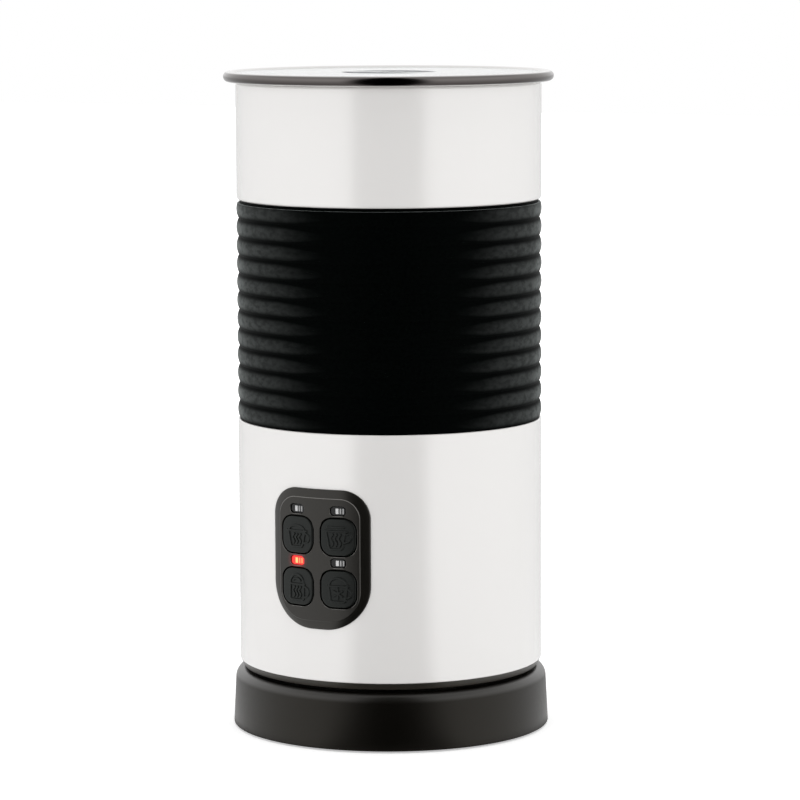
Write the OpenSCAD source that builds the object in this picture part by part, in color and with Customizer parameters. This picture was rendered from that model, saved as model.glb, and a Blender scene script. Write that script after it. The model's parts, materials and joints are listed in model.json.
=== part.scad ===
// Electric milk frother: turning base, heated steel cup, magnetic whisk drive, clear lid, four-button panel.
// Millimetres. The origin is the centre of the footprint on the table.
// +Z is up and the control panel faces -Y.

/* [Body] */
// Outer diameter of the painted shells
body_d = 98; // [94:1:104]
// Height of the lower painted shell
lower_shell_h = 78.55; // [76:0.05:90]
// Height of the upper painted shell
upper_shell_h = 37.6; // [32:0.1:46]
// Wall of the painted shells
shell_t = 0.6; // [0.5:0.05:0.8]
// Wall of the inner housing behind the shells
housing_t = 3; // [2.8:0.1:3.4]
// Thickness of the bottom cover
cover_t = 2; // [1.6:0.1:2.6]
// Height of the foot ring under the bottom cover
foot_ring_h = 2.1; // [1.8:0.1:3]
// Width of the foot ring
foot_ring_w = 4.5; // [4:0.1:5.5]
// Distance from the shells in to the foot ring
foot_ring_inset = 6.5; // [6:0.1:8]

/* [Grip sleeve] */
// Number of ribs round the sleeve
rib_count = 12; // [10:1:14]
// Height of one rib
rib_pitch = 5.87; // [5.5:0.01:6.3]
// Depth of the groove between two ribs
rib_depth = 0.75; // [0.5:0.05:1]
// How far the ribs stand out past the shells
rib_proud = 0.05; // [0:0.05:0.6]
// Thickness of the sleeve over a rib
sleeve_t = 2.55; // [2.3:0.05:2.7]
// How far the lip at the top of the sleeve stands out past the ribs
lip_proud = 0.35; // [0.2:0.05:0.6]
// Height of that lip
lip_h = 1; // [0.8:0.1:1.4]

/* [Cup and rim] */
// Wall of the steel cup
cup_t = 0.6; // [0.5:0.05:0.8]
// Air gap between the cup and the inner housing
cup_gap = 0.7; // [0.5:0.05:1.2]
// Depth of the cup from the lid seat to its floor
cup_depth = 97.4; // [92:0.1:102]
// Corner radius inside the bottom of the cup
cup_corner = 6; // [4:0.5:9]
// Radius of the rolled rim bead
bead_r = 1.65; // [1.4:0.05:1.9]
// How far the rim stands out past the shells
rim_overhang = 3.9; // [3.5:0.1:4.4]
// Depth of the lid seat below the middle of the bead
seat_drop = 0.6; // [0.5:0.05:0.8]
// Thickness of the gasket under the cup flange
gasket_t = 0.8; // [0.6:0.1:0.9]
// Diameter of the pin on which the whisk turns
cup_pin_d = 4; // [3.6:0.1:4.6]
// Height of that pin
cup_pin_h = 8; // [7.6:0.1:9]

/* [Lid] */
// Thickness of the lid plate
lid_t = 1.8; // [1.6:0.1:2]
// Depth of the skirt that plugs into the cup
lid_skirt_h = 8.4; // [7.6:0.1:10]
// Wall of that skirt
lid_skirt_t = 2; // [1.8:0.1:2.6]
// Height of the lid seal
seal_h = 3.4; // [2.8:0.1:4]
// Radius of the finger well
well_r = 15; // [13:0.5:18]
// Depth of the finger well
well_depth = 9; // [7:0.5:10]
// Width of the grip bar that crosses the well
grip_bar_w = 5; // [4:0.5:6]

/* [Base] */
// How far the base stands out past the shells
base_overhang = 2.2; // [1.9:0.1:3.2]
// Height of the base housing's top above the table
base_h = 18.8; // [17.8:0.1:22]
// How much narrower the base is at the top of its wall
base_draft = 0.7; // [0.4:0.1:1.2]
// Radius that rounds the base's top edge
base_round = 4; // [3:0.1:4.6]
// Wall of the base housing
base_t = 2.2; // [1.8:0.1:2.6]
// Depth of the dish in which the frother stands
dish_depth = 1.2; // [0.8:0.1:1.6]
// Thickness of the base floor
floor_t = 2; // [1.8:0.1:2.4]
// How far the feet stand out of the base floor
foot_h = 0.6; // [0.4:0.1:1]
// Diameter of a rubber foot
foot_d = 10; // [8:0.5:11]
// Diameter of the cord gland's bore
cord_bore_d = 6.6; // [6:0.1:7.4]

/* [Turning connector] */
// Diameter of the hub on which the frother turns
hub_d = 22; // [21.4:0.1:23]
// How far the hub reaches up into the frother
hub_reach = 1.8; // [1.4:0.1:2.6]
// Outer diameter of the locating collar round the hub
collar_d = 32.4; // [31.6:0.1:33]

/* [Control panel] */
// Width of the panel
panel_w = 33.94; // [33.2:0.02:35]
// Height of the panel
panel_h = 44.45; // [44:0.05:48]
// Height of the panel's lower edge above the bottom of the shell
panel_rise = 16.65; // [15:0.05:22]
// Radius of the panel's upper corners
panel_top_r = 9; // [7:0.5:10]
// Radius of the panel's lower corners
panel_low_r = 14.5; // [12:0.5:15]
// How far the panel's face stands out from the shell
panel_proud = 1.3; // [1:0.05:1.8]
// Width of the lower border round the panel's face
border_w = 1.9; // [1.7:0.1:2]
// Width and height of a button
button_w = 11.7; // [10.5:0.1:11.8]
// Corner radius of a button
button_r = 3.9; // [3:0.1:5]
// Angle from the middle of the panel to a column of buttons
column_a = 8.3; // [8.2:0.1:8.6]
// Height from one row of buttons to the next
row_pitch = 16.45; // [16.4:0.05:17]
// Height of the lower row of buttons above the panel's lower edge
row_rise = 13.2; // [12.8:0.05:14]
// Height of an indicator window above the middle of its button
window_rise = 8.25; // [8.2:0.05:8.3]
// Width of an indicator window
window_w = 5; // [4:0.1:5.6]
// Height of an indicator window
window_h = 2.8; // [2.2:0.1:2.9]
// Travel of a button
button_travel = 0.5; // [0.3:0.05:0.6]

/* [Heater and drive] */
// Thickness of the heater plate
plate_t = 3.5; // [3:0.1:4.2]
// Distance from the inner housing in to the edge of the heater plate
plate_inset = 7.3; // [6.8:0.1:8.2]
// Diameter of the tubular heater element
element_d = 5.2; // [4.6:0.1:5.8]
// Distance from the plate's edge in to the middle of the element
element_inset = 8; // [7.8:0.1:8.4]
// Diameter of the magnet carrier
carrier_d = 36; // [34:0.5:37]
// Thickness of the magnet carrier
carrier_t = 5; // [4.6:0.1:6]
// Air gap between the magnet carrier and the cup
carrier_gap = 1.2; // [0.9:0.1:2]
// Length of shaft between the motor mount and the magnet carrier
shaft_reach = 9.2; // [8.8:0.1:12]
// Diameter of the motor can
motor_d = 28; // [26:0.5:32]
// Length of the motor can
motor_h = 28; // [26:0.5:32]
// Diameter of the motor shaft
shaft_d = 3; // [2.6:0.1:3.4]
// Diameter of the studs that carry the motor mount
stud_d = 3; // [2.6:0.1:3.2]

/* [Whisk] */
// Diameter of the whisk hub
whisk_d = 31; // [29:0.5:34]
// Height of the whisk hub
whisk_h = 6; // [5.6:0.1:7]
// Radius of the ring that the whisk's spring coil follows
coil_ring_r = 12.6; // [12:0.1:12.8]
// Outer diameter of the spring coil
coil_d = 4.6; // [4:0.1:5]
// Diameter of the whisk's finger stem
stem_d = 7; // [6.6:0.1:8]
// Height of that stem above the hub
stem_h = 18; // [14:0.5:24]

/* [Boards] */
// Height of the power board above the bottom cover
board_rise = 22.3; // [21:0.1:24]
// Thickness of the circuit boards
board_t = 1.6; // [1.2:0.1:2]
// Diameter of the housing screws
screw_d = 3; // [2.8:0.1:3.2]

/* [Hidden] */
$fn = 96;

// Clearances
fit = 0.1;      // a piece that slips into another
seat = 0.05;    // a screw in its hole, or a contact in its slot
run = 0.05;     // a shaft, hub or pin in the bore that turns on it
cut = 1;        // how far a cutting solid runs past what it cuts
merge = 0.4;    // how far a boss, stud or skirt runs into the wall that it grows from

// Levels, from the table up
seat_z = base_h - dish_depth;
cover_z = seat_z + foot_ring_h;
shell_z = cover_z + cover_t;
lower_top_z = shell_z + lower_shell_h;
grip_h = rib_count * rib_pitch;
grip_top_z = lower_top_z + grip_h;
upper_top_z = grip_top_z + upper_shell_h;
bead_z = upper_top_z + seat + bead_r;
lid_seat_z = bead_z - seat_drop;
flange_z = lid_seat_z - cup_t;
housing_top_z = flange_z - gasket_t;
cup_floor_z = lid_seat_z - cup_depth;
plate_top_z = cup_floor_z - cup_t;
plate_z = plate_top_z - plate_t;
carrier_top_z = plate_top_z - carrier_gap;
carrier_z = carrier_top_z - carrier_t;
mount_top_z = carrier_z - shaft_reach;
mount_t = 2;
motor_top_z = mount_top_z - mount_t;
motor_z = motor_top_z - motor_h;
board_z = shell_z + board_rise;
board_top_z = board_z + board_t;

// Radii of the body
body_r = body_d / 2;
housing_r = body_r - shell_t - fit;
housing_in_r = housing_r - housing_t;
crest_r = body_r + rib_proud;
sleeve_in_r = crest_r - sleeve_t;
waist_r = sleeve_in_r - fit;
cup_out_r = housing_in_r - cup_gap;
cup_in_r = cup_out_r - cup_t;
bead_ring_r = body_r + rim_overhang - bead_r;
foot_ring_r = body_r - foot_ring_inset;
post_ring_r = foot_ring_r - foot_ring_w / 2;
post_r = housing_in_r - post_ring_r + merge;
posts = [90, 210, 330];

// Screws
screw_r = screw_d / 2;
screw_head_r = screw_d * 0.9;
screw_head_h = 1.1;

// Base
base_r = body_r + base_overhang;
base_top_r = base_r - base_draft;
dish_margin = 1.1;
dish_r = foot_ring_r + dish_margin;
base_floor_top_z = foot_h + floor_t;
deck_t = 2.4;
deck_z = seat_z - deck_t;
floor_r = base_top_r - base_t - fit;
foot_recess = 0.8;
foot_edge_gap = 3.2;
foot_place_r = floor_r - foot_d / 2 - foot_edge_gap;
base_boss_r = 3.2;
base_boss_ring_r = 32;
base_bosses = [30, 150, 270];
base_screw_len = 6;
screw_tip_gap = 0.5;

// Turning connector
hub_r = hub_d / 2;
hub_top_z = shell_z + hub_reach;
collar_r = collar_d / 2;
collar_drop = 0.2;
collar_top_z = seat_z - collar_drop;
ledge_z = 9;
ledge_w = 3;
ledge_r = hub_r + ledge_w;
flange_t = 2;
flange_w = 3.6;
socket_flange_r = collar_r + flange_w;
throat_gap = 0.8;
throat_r = collar_r + throat_gap;
throat_t = 1.6;
earth_r = 2.6;
pin_r = 2;
slot_floor_z = 12;
sleeve_z = 8;
inner_slot = [4.8, 6.4];
outer_slot = [8, 9.6];
contact_t = 0.3;
contact_top_z = 20;
blade_t = 0.6;
blade_gap = 0.15;
blade_z = 14;
plug_pin_z = 9.5;
plug_cap_gap = 0.7;
plug_cap_z = hub_top_z + plug_cap_gap;
plug_cap_t = 3.8;
plug_skirt_r = collar_r - 0.1;
plug_bore_r = hub_r + 0.4;
plug_wall = 3;
plug_flange_w = 4.5;
plug_flange_r = plug_skirt_r + plug_flange_w;
plug_flange_t = 2;
tab_w = 3;
tab_t = 0.8;
tab_h = 7;

// Cord gland and clamp
gland_wall = 1.6;
gland_r = cord_bore_d / 2 + gland_wall;
gland_flange_t = 1;
gland_flange_r = gland_r + gland_flange_t;
gland_z = 9;
gland_reach = 7;
gland_in_y = base_r - gland_reach;
gland_proud = 0.9;
gland_out_y = base_r + gland_proud;
clamp_w = 20;
clamp_d = 6;
clamp_place = 5;
clamp_y = gland_in_y - clamp_place;
clamp_screw_x = 7;
clamp_gap = 0.4;
clamp_grip = 0.3;
clamp_head_t = 0.8;
clamp_floor_z = base_floor_top_z + 1;
clamp_top_z = deck_z - clamp_head_t - 0.2;

// Bottom cover
lip_top_r = body_r - 0.2;
lip_chamfer = 1;
lip_low_r = lip_top_r - lip_chamfer;
spigot_r = housing_in_r - fit;
spigot_t = 2;
spigot_h = 5;
cover_screw_len = 9;

// Control panel
panel_z = shell_z + panel_rise + panel_h / 2;
panel_face_r = body_r + panel_proud;
panel_back_r = housing_r - fit;
neck_inset = border_w;
window_inset = neck_inset - fit;
neck_t = 1.4;
control_depth = 8.4;
control_y = body_r - control_depth;
lower_row_z = shell_z + panel_rise + row_rise;
upper_row_z = lower_row_z + row_pitch;
// The four buttons, as angle from -Y and level
button_places = [
    [-column_a, upper_row_z],
    [column_a, upper_row_z],
    [-column_a, lower_row_z],
    [column_a, lower_row_z],
];
button_gap = 0.35;
button_proud = 0.05;
button_face_r = panel_face_r + button_proud;
button_flange_top_r = panel_back_r - fit;
button_flange_t = 1.1;
button_flange_lap = 0.6;
button_flange_h = button_w + 2 * button_flange_lap;
button_flange_cut = 2;
button_flange_w = button_w - 2 * button_flange_cut;
button_flange_corner = 1;
switch_w = 6;
switch_h = 3.2;
plunger_h = 0.2;
plunger_r = 1.7;
press_gap = 1.3;
stem_r = 1.5;
stem_end_r = control_y + switch_h + plunger_h + press_gap;
window_corner = 1;
hole_reach = 4;
window_depth = 0.4;
pipe_gap = 2;
control_boss_r = 2.2;
control_boss_inset = 4.45;
control_boss_z = [
    shell_z + panel_rise + control_boss_inset,
    shell_z + panel_rise + panel_h - control_boss_inset,
];
control_screw_r = 1;
control_screw_head_t = 1;
control_screw_len = 3;
control_board_gap = 0.3;
led_size = [3.2, 1.2, 1.6];

// Heater and motor
plate_r = housing_in_r - plate_inset;
plate_hole_gap = 2.5;
plate_hole_r = carrier_d / 2 + plate_hole_gap;
element_ring_r = plate_r - element_inset;
element_gap_a = 20;
element_pin_r = 1.5;
element_pin_len = 9;
element_pin_z = plate_z - element_pin_len;
element_flat = 0.4;
stud_ring_r = plate_r - (element_inset - element_d / 2) / 2;
stud_shoulder_w = 1;
stud_shoulder_r = stud_d / 2 + stud_shoulder_w;
stud_end = 4;
nut_t = 2.4;
nut_r = stud_d;
arm_w = 10;
mount_rim = 3;
mount_disc_r = motor_d / 2 + mount_rim;
motor_r = motor_d / 2;
can_t = 1.2;
can_in_r = motor_r - can_t;
end_cap_h = 4;
bush_r = 3.5;
bush_h = 7;
bush_top_z = mount_top_z + 1;
motor_screw_r = 1.25;
motor_screw_ring_r = 8.5;
motor_screw_head_h = 1.2;
motor_screw_tip = 1.5;
magnet_t = 1.6;
armature_gap = 0.6;
armature_r = can_in_r - seat - magnet_t - armature_gap;
armature_margin = 3;
shaft_r = shaft_d / 2;
shaft_tail = 1.5;
shaft_cover = 0.5;
press = 0.01;
carrier_hub_r = 4.5;
carrier_hub_z = mount_top_z + 3;
drive_magnet_r = 4;
drive_magnet_h = 3.6;
drive_magnet_rim = 1.6;
drive_magnet_ring_r = carrier_d / 2 - drive_magnet_r - drive_magnet_rim;
thermostat_r = 6.6;
thermostat_h = 7;
thermostat_step = 2;
sensor_r = 2;
sensor_h = 4;

// Whisk
whisk_lift_gap = 0.6;
whisk_z = cup_floor_z + whisk_lift_gap;
whisk_top_z = whisk_z + whisk_h;
whisk_r = whisk_d / 2;
cup_pin_r = cup_pin_d / 2;
cup_pin_top_z = cup_floor_z + cup_pin_h;
coil_r = coil_d / 2;
coil_rise = 0.3;
coil_z = whisk_top_z + coil_rise;
wire_d = 0.8;
whisk_stem_r = stem_d / 2;
stem_top_z = whisk_top_z + stem_h;
knob_w = 1.5;
knob_r = whisk_stem_r + knob_w;
knob_h = 4;
whisk_magnet_r = 2.5;
whisk_magnet_h = 3;
whisk_magnet_ring_r = 6.4;

// Lid
lid_gap = 0.4;
lid_r = bead_ring_r - sqrt(pow(bead_r, 2) - pow(seat_drop, 2)) - lid_gap;
lid_top_z = lid_seat_z + lid_t;
skirt_z = lid_seat_z - lid_skirt_h;
skirt_gap = 1.4;
skirt_r = cup_in_r - skirt_gap;
seal_rise = 2;
seal_z = skirt_z + seal_rise;
seal_groove = 1;
seal_lip_gap = 0.15;
fin_h = 0.9;
well_t = 1.6;
well_z = lid_top_z - well_depth;

// Boards
board_gap = 1.3;
board_r = housing_in_r - board_gap;
board_front_gap = 3.6;
board_front_y = control_y - board_front_gap;
board_front_clear = 0.5;
ribbon_w = 12;
ribbon_t = 0.6;
ribbon_rise = 7;
ribbon_z = board_top_z + ribbon_rise;
ribbon_bend = 2;
block_size = [30, 8, 11];
relay_size = [19, 15.5, 15];
relay_place = [-21, 12];
transformer_size = [20, 18, 14];
bobbin_h = 3;
bobbin_rim = 5;
transformer_place = [20, 12];
capacitor_r = 5;
capacitor_h = 15;
capacitor_place = [-24, -9];
lead_r = 1.1;
motor_lead_r = 0.77;
motor_lead_x = 5;
board_screw_len = 8;
mains_lead_ring_r = 8;

// A ring about the Z axis between two radii and two levels
module tube(r_in, r_out, z0, z1) {
    rotate_extrude()
        translate([r_in, z0])
            square([r_out - r_in, z1 - z0]);
}

// A round bar that stands on level z0
module rod(r, z0, z1) {
    translate([0, 0, z0])
        cylinder(r = r, h = z1 - z0);
}

// A block centred on the Z axis that stands on level z0
module block(size, z0) {
    translate([-size[0] / 2, -size[1] / 2, z0])
        cube(size);
}

// Copies of the children at the given angles, at one distance from the Z axis
module around(angles, ring_r) {
    for (a = angles)
        rotate([0, 0, a])
            translate([ring_r, 0, 0])
                children();
}

// A screw with its head at level z0 and its shank going up
module screw_up(r, head_r, head_h, z0, z1) {
    rod(head_r, z0, z0 + head_h);
    rod(r, z0 + head_h, z1);
}

// A half section of a pot with a rounded foot
module pot_section(r, z0, z1, corner) {
    translate([0, z0])
        square([r - corner, z1 - z0]);
    translate([0, z0 + corner])
        square([r, z1 - z0 - corner]);
    translate([r - corner, z0 + corner])
        circle(r = corner);
}

// A rectangle with round corners, centred on the origin
module rounded(w, h, r) {
    square([w - 2 * r, h], center = true);
    square([w, h - 2 * r], center = true);
    for (x = [-1, 1], y = [-1, 1])
        translate([x * (w / 2 - r), y * (h / 2 - r)])
            circle(r = r);
}

// The panel's outline, drawn in by an inset
module panel_outline(inset) {
    w = panel_w / 2 - inset;
    h = panel_h / 2 - inset;
    top_r = panel_top_r - inset;
    low_r = panel_low_r - inset;
    translate([-w, low_r - h])
        square([2 * w, 2 * h - top_r - low_r]);
    translate([top_r - w, 0])
        square([2 * (w - top_r), h]);
    translate([low_r - w, -h])
        square([2 * (w - low_r), h]);
    for (x = [-1, 1]) {
        translate([x * (w - top_r), h - top_r])
            circle(r = top_r);
        translate([x * (w - low_r), low_r - h])
            circle(r = low_r);
    }
}

// Turns a drawing so that its up stays up and it faces outward at an angle from -Y
module facing(angle, z) {
    rotate([0, 0, angle])
        translate([0, 0, z])
            rotate([90, 0, 0])
                children();
}

// The panel's outline pushed out from one distance from the axis to another
module panel_prism(inset, from, to) {
    facing(0, panel_z)
        translate([0, 0, from])
            linear_extrude(to - from)
                panel_outline(inset);
}

// A plate with the panel's outline, curved to the body between two radii
module curved_panel(inset, r_in, r_out) {
    intersection() {
        tube(r_in, r_out, shell_z, lower_top_z);
        panel_prism(inset, board_front_y, r_out + cut);
    }
}

// A curved plate with a rounded rectangle's outline, at one angle and level
module curved_pad(w, h, r, angle, z, r_in, r_out) {
    intersection() {
        tube(r_in, r_out, z - h, z + h);
        facing(angle, z)
            translate([0, 0, board_front_y])
                linear_extrude(r_out)
                    rounded(w, h, r);
    }
}

// ---------- Base ----------

module base_outer_section() {
    shoulder_z = base_h - base_round;
    polygon([[0, foot_h], [base_r, foot_h], [base_top_r, shoulder_z], [0, shoulder_z]]);
    translate([0, foot_h])
        square([base_top_r - base_round, base_h - foot_h]);
    translate([base_top_r - base_round, shoulder_z])
        circle(r = base_round);
}

module base_inner_section() {
    low_r = base_r - base_t;
    top_r = base_top_r - base_t;
    polygon([[0, 0], [low_r, 0], [top_r, deck_z], [0, deck_z]]);
}

module base_housing() {
    color("#2b2927")
        difference() {
            union() {
                rotate_extrude()
                    difference() {
                        base_outer_section();
                        base_inner_section();
                        translate([0, seat_z])
                            square([dish_r, dish_depth + cut]);
                        translate([0, deck_z - cut])
                            square([throat_r, deck_t + 2 * cut]);
                    }
                tube(throat_r, throat_r + throat_t, base_floor_top_z + flange_t, deck_z + merge);
                around(base_bosses, base_boss_ring_r)
                    rod(base_boss_r, base_floor_top_z, deck_z + merge);
            }
            around(base_bosses, base_boss_ring_r)
                rod(screw_r + seat, 0, foot_h + floor_t + base_screw_len);
            translate([0, gland_in_y, gland_z])
                rotate([-90, 0, 0])
                    cylinder(r = gland_r + seat, h = base_r);
        }
}

module base_floor() {
    color("#33302e")
        difference() {
            rod(floor_r, foot_h, base_floor_top_z);
            around([45, 135, 225, 315], foot_place_r)
                rod(foot_d / 2 + seat, foot_h - cut, foot_h + foot_recess);
            around(base_bosses, base_boss_ring_r) {
                rod(screw_r + seat, 0, base_h);
                rod(screw_head_r + seat, foot_h - cut, foot_h + screw_head_h);
            }
        }
}

module base_feet() {
    color("#161616")
        around([45, 135, 225, 315], foot_place_r)
            rod(foot_d / 2, 0, foot_h + foot_recess);
}

module base_screws() {
    color("#9a9a98")
        around(base_bosses, base_boss_ring_r)
            screw_up(screw_r, screw_head_r, screw_head_h, foot_h,
                     base_floor_top_z + base_screw_len - screw_tip_gap);
}

module base_socket() {
    color("#1d1d1d")
        difference() {
            union() {
                rod(socket_flange_r, base_floor_top_z, base_floor_top_z + flange_t);
                rod(ledge_r, base_floor_top_z, ledge_z);
                rod(hub_r, base_floor_top_z, hub_top_z);
            }
            rod(earth_r, sleeve_z, hub_top_z + cut);
            tube(inner_slot[0], inner_slot[1], slot_floor_z, hub_top_z + cut);
            tube(outer_slot[0], outer_slot[1], slot_floor_z, hub_top_z + cut);
        }
}

module base_contacts() {
    color("#c8a24a") {
        tube(pin_r + 2 * seat, earth_r - seat, sleeve_z, contact_top_z);
        tube(inner_slot[0] + seat, inner_slot[0] + seat + contact_t, slot_floor_z, contact_top_z);
        tube(outer_slot[0] + seat, outer_slot[0] + seat + contact_t, slot_floor_z, contact_top_z);
    }
}

module cord_gland() {
    color("#1a1a1a")
        translate([0, 0, gland_z])
            rotate([-90, 0, 0])
                difference() {
                    union() {
                        translate([0, 0, gland_in_y])
                            cylinder(r = gland_r, h = gland_out_y - gland_in_y);
                        translate([0, 0, gland_in_y - gland_flange_t])
                            cylinder(r = gland_flange_r, h = gland_flange_t);
                    }
                    translate([0, 0, gland_in_y - gland_flange_t - cut])
                        cylinder(r = cord_bore_d / 2, h = gland_out_y);
                }
}

// A saddle on the base floor and a bridge over it, with the cord's groove between them
module cord_clamp() {
    split = gland_z;
    color("#3a3735")
        translate([0, clamp_y, 0])
            difference() {
                union() {
                    block([clamp_w, clamp_d, split - clamp_gap / 2 - base_floor_top_z], base_floor_top_z);
                    block([clamp_w, clamp_d, clamp_top_z - split - clamp_gap / 2], split + clamp_gap / 2);
                }
                translate([0, clamp_d, gland_z])
                    rotate([90, 0, 0])
                        cylinder(r = cord_bore_d / 2 - clamp_grip, h = 2 * clamp_d);
                for (x = [-1, 1])
                    translate([x * clamp_screw_x, 0, 0])
                        rod(screw_r + seat, clamp_floor_z, deck_z);
            }
}

module clamp_screws() {
    color("#9a9a98")
        translate([0, clamp_y, 0])
            for (x = [-1, 1])
                translate([x * clamp_screw_x, 0, 0]) {
                    rod(screw_r, clamp_floor_z, clamp_top_z);
                    rod(screw_head_r, clamp_top_z, clamp_top_z + clamp_head_t);
                }
}

module locating_collar() {
    color("#4a4644")
        tube(hub_r + run, collar_r, ledge_z, collar_top_z);
}

// ---------- Body, from the bottom up ----------

module bottom_cover() {
    color("#2f2c2a")
        difference() {
            union() {
                rotate_extrude()
                    polygon([
                        [plug_skirt_r + fit, cover_z],
                        [lip_low_r, cover_z],
                        [lip_top_r, shell_z],
                        [plug_skirt_r + fit, shell_z],
                    ]);
                tube(foot_ring_r - foot_ring_w, foot_ring_r, seat_z, cover_z);
                difference() {
                    tube(spigot_r - spigot_t, spigot_r, shell_z, shell_z + spigot_h);
                    around(posts, post_ring_r)
                        rod(post_r + fit, shell_z - cut, board_z);
                }
            }
            around(posts, post_ring_r) {
                rod(screw_r + seat, 0, board_z);
                rod(screw_head_r + seat, seat_z - cut, seat_z + screw_head_h);
            }
        }
}

module cover_screws() {
    color("#9a9a98")
        around(posts, post_ring_r)
            screw_up(screw_r, screw_head_r, screw_head_h, seat_z, shell_z + cover_screw_len);
}

module body_plug() {
    color("#222120")
        difference() {
            union() {
                rod(plug_skirt_r, collar_top_z, shell_z + plug_flange_t);
                rod(plug_flange_r, shell_z, shell_z + plug_flange_t);
                rod(plug_bore_r + plug_wall, shell_z, plug_cap_z + plug_cap_t);
            }
            rod(plug_bore_r, collar_top_z - cut, plug_cap_z);
        }
}

module plug_contacts() {
    inner_r = inner_slot[0] + seat + contact_t + blade_gap;
    outer_r = outer_slot[0] + seat + contact_t + blade_gap;
    color("#c8a24a") {
        rod(pin_r, plug_pin_z, plug_cap_z);
        tube(inner_r, inner_r + blade_t, blade_z, plug_cap_z);
        tube(outer_r, outer_r + blade_t, blade_z, plug_cap_z);
        around(posts, mains_lead_ring_r)
            block([tab_w, tab_t, tab_h], plug_cap_z + plug_cap_t);
    }
}

module lower_shell() {
    color("#eeecea")
        difference() {
            tube(body_r - shell_t, body_r, shell_z, lower_top_z);
            panel_prism(window_inset, board_front_y, body_r + cut);
        }
}

module upper_shell() {
    color("#eeecea")
        tube(body_r - shell_t, body_r, grip_top_z, upper_top_z);
}

// Convex ribs that meet in sharp grooves, with a rounded lip at the top
module sleeve_section() {
    arc_r = (pow(rib_pitch / 2, 2) + pow(rib_depth, 2)) / (2 * rib_depth);
    lip_r = crest_r + lip_proud;
    intersection() {
        translate([sleeve_in_r, lower_top_z])
            square([sleeve_t + lip_proud, grip_h]);
        for (i = [0 : rib_count - 1])
            translate([crest_r - arc_r, lower_top_z + (i + 0.5) * rib_pitch])
                circle(r = arc_r);
    }
    translate([sleeve_in_r, grip_top_z - lip_h])
        square([lip_r - lip_h / 2 - sleeve_in_r, lip_h]);
    translate([lip_r - lip_h / 2, grip_top_z - lip_h / 2])
        circle(r = lip_h / 2);
}

module grip_sleeve() {
    color("#141414")
        rotate_extrude()
            sleeve_section();
}

module inner_housing() {
    color("#55514e")
        difference() {
            union() {
                tube(housing_in_r, housing_r, shell_z, lower_top_z);
                tube(housing_in_r, waist_r, lower_top_z, grip_top_z);
                tube(housing_in_r, housing_r, grip_top_z, housing_top_z);
                intersection() {
                    rod(housing_r, shell_z, board_z);
                    around(posts, post_ring_r)
                        rod(post_r, shell_z, board_z);
                }
            }
            panel_prism(window_inset, board_front_y, body_r + cut);
            around(posts, post_ring_r)
                rod(screw_r + seat, 0, board_z + cut);
        }
}

module cup() {
    color("#c9cbcc")
        rotate_extrude() {
            difference() {
                pot_section(cup_out_r, plate_top_z, lid_seat_z, cup_corner + cup_t);
                pot_section(cup_in_r, cup_floor_z, lid_seat_z + cut, cup_corner);
            }
            translate([cup_in_r, flange_z])
                square([bead_ring_r - cup_in_r, cup_t]);
            translate([bead_ring_r, bead_z])
                circle(r = bead_r);
        }
}

module cup_gasket() {
    color("#d9d7d2")
        tube(housing_in_r, housing_r - fit, housing_top_z, flange_z);
}

module cup_pin() {
    color("#b9bbbc")
        rod(cup_pin_r, cup_floor_z, cup_pin_top_z);
}

// ---------- Heater ----------

module heater_plate() {
    color("#b4b5b6") {
        tube(plate_hole_r, plate_r, plate_z, plate_top_z);
        around(posts, stud_ring_r) {
            rod(stud_shoulder_r, mount_top_z, plate_z + merge);
            rod(stud_d / 2, motor_top_z - stud_end, mount_top_z + merge);
        }
    }
}

// A tube bent into an open ring, flattened where it is bonded to the plate
module heater_element() {
    element_r = element_d / 2;
    color("#8c8d8e")
        union() {
            rotate([0, 0, 270 + element_gap_a])
                rotate_extrude(angle = 360 - 2 * element_gap_a)
                    intersection() {
                        translate([element_ring_r, plate_z - element_r + element_flat])
                            circle(r = element_r);
                        translate([0, plate_z - element_d])
                            square([plate_r, element_d]);
                    }
            around([270 - element_gap_a, 270 + element_gap_a], element_ring_r)
                rod(element_pin_r, element_pin_z, plate_z);
        }
}

module thermostat() {
    color("#e6e1d6")
        rotate([0, 0, 270])
            translate([element_ring_r, 0, 0]) {
                rod(thermostat_r, plate_z - thermostat_h, plate_z);
                rod(thermostat_r - thermostat_step, plate_z - thermostat_h - thermostat_step,
                    plate_z - thermostat_h);
            }
}

module temperature_sensor() {
    color("#6b6b6b")
        around([30], stud_ring_r)
            rod(sensor_r, plate_z - sensor_h, plate_z);
}

// ---------- Drive ----------

module motor_mount() {
    color("#a9abad")
        difference() {
            union() {
                rod(mount_disc_r, motor_top_z, mount_top_z);
                around(posts, 0)
                    translate([0, -arm_w / 2, motor_top_z])
                        cube([stud_ring_r, arm_w, mount_t]);
                around(posts, stud_ring_r)
                    rod(arm_w / 2, motor_top_z, mount_top_z);
            }
            rod(bush_r + fit, 0, mount_top_z + cut);
            around(posts, stud_ring_r)
                rod(stud_d / 2 + seat, 0, mount_top_z + cut);
            around([0, 180], motor_screw_ring_r)
                rod(motor_screw_r + seat, 0, mount_top_z + cut);
        }
}

module mount_nuts() {
    color("#8f9193")
        around(posts, stud_ring_r)
            difference() {
                translate([0, 0, motor_top_z - nut_t])
                    cylinder(r = nut_r, h = nut_t, $fn = 6);
                rod(stud_d / 2 + seat, 0, mount_top_z);
            }
}

module motor_can() {
    color("#9c9ea0")
        difference() {
            rod(motor_r, motor_z, motor_top_z);
            rod(can_in_r, motor_z - cut, motor_top_z - can_t);
            rod(bush_r + seat, 0, motor_top_z + cut);
            around([0, 180], motor_screw_ring_r)
                rod(motor_screw_r + seat, 0, motor_top_z + cut);
        }
}

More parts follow.
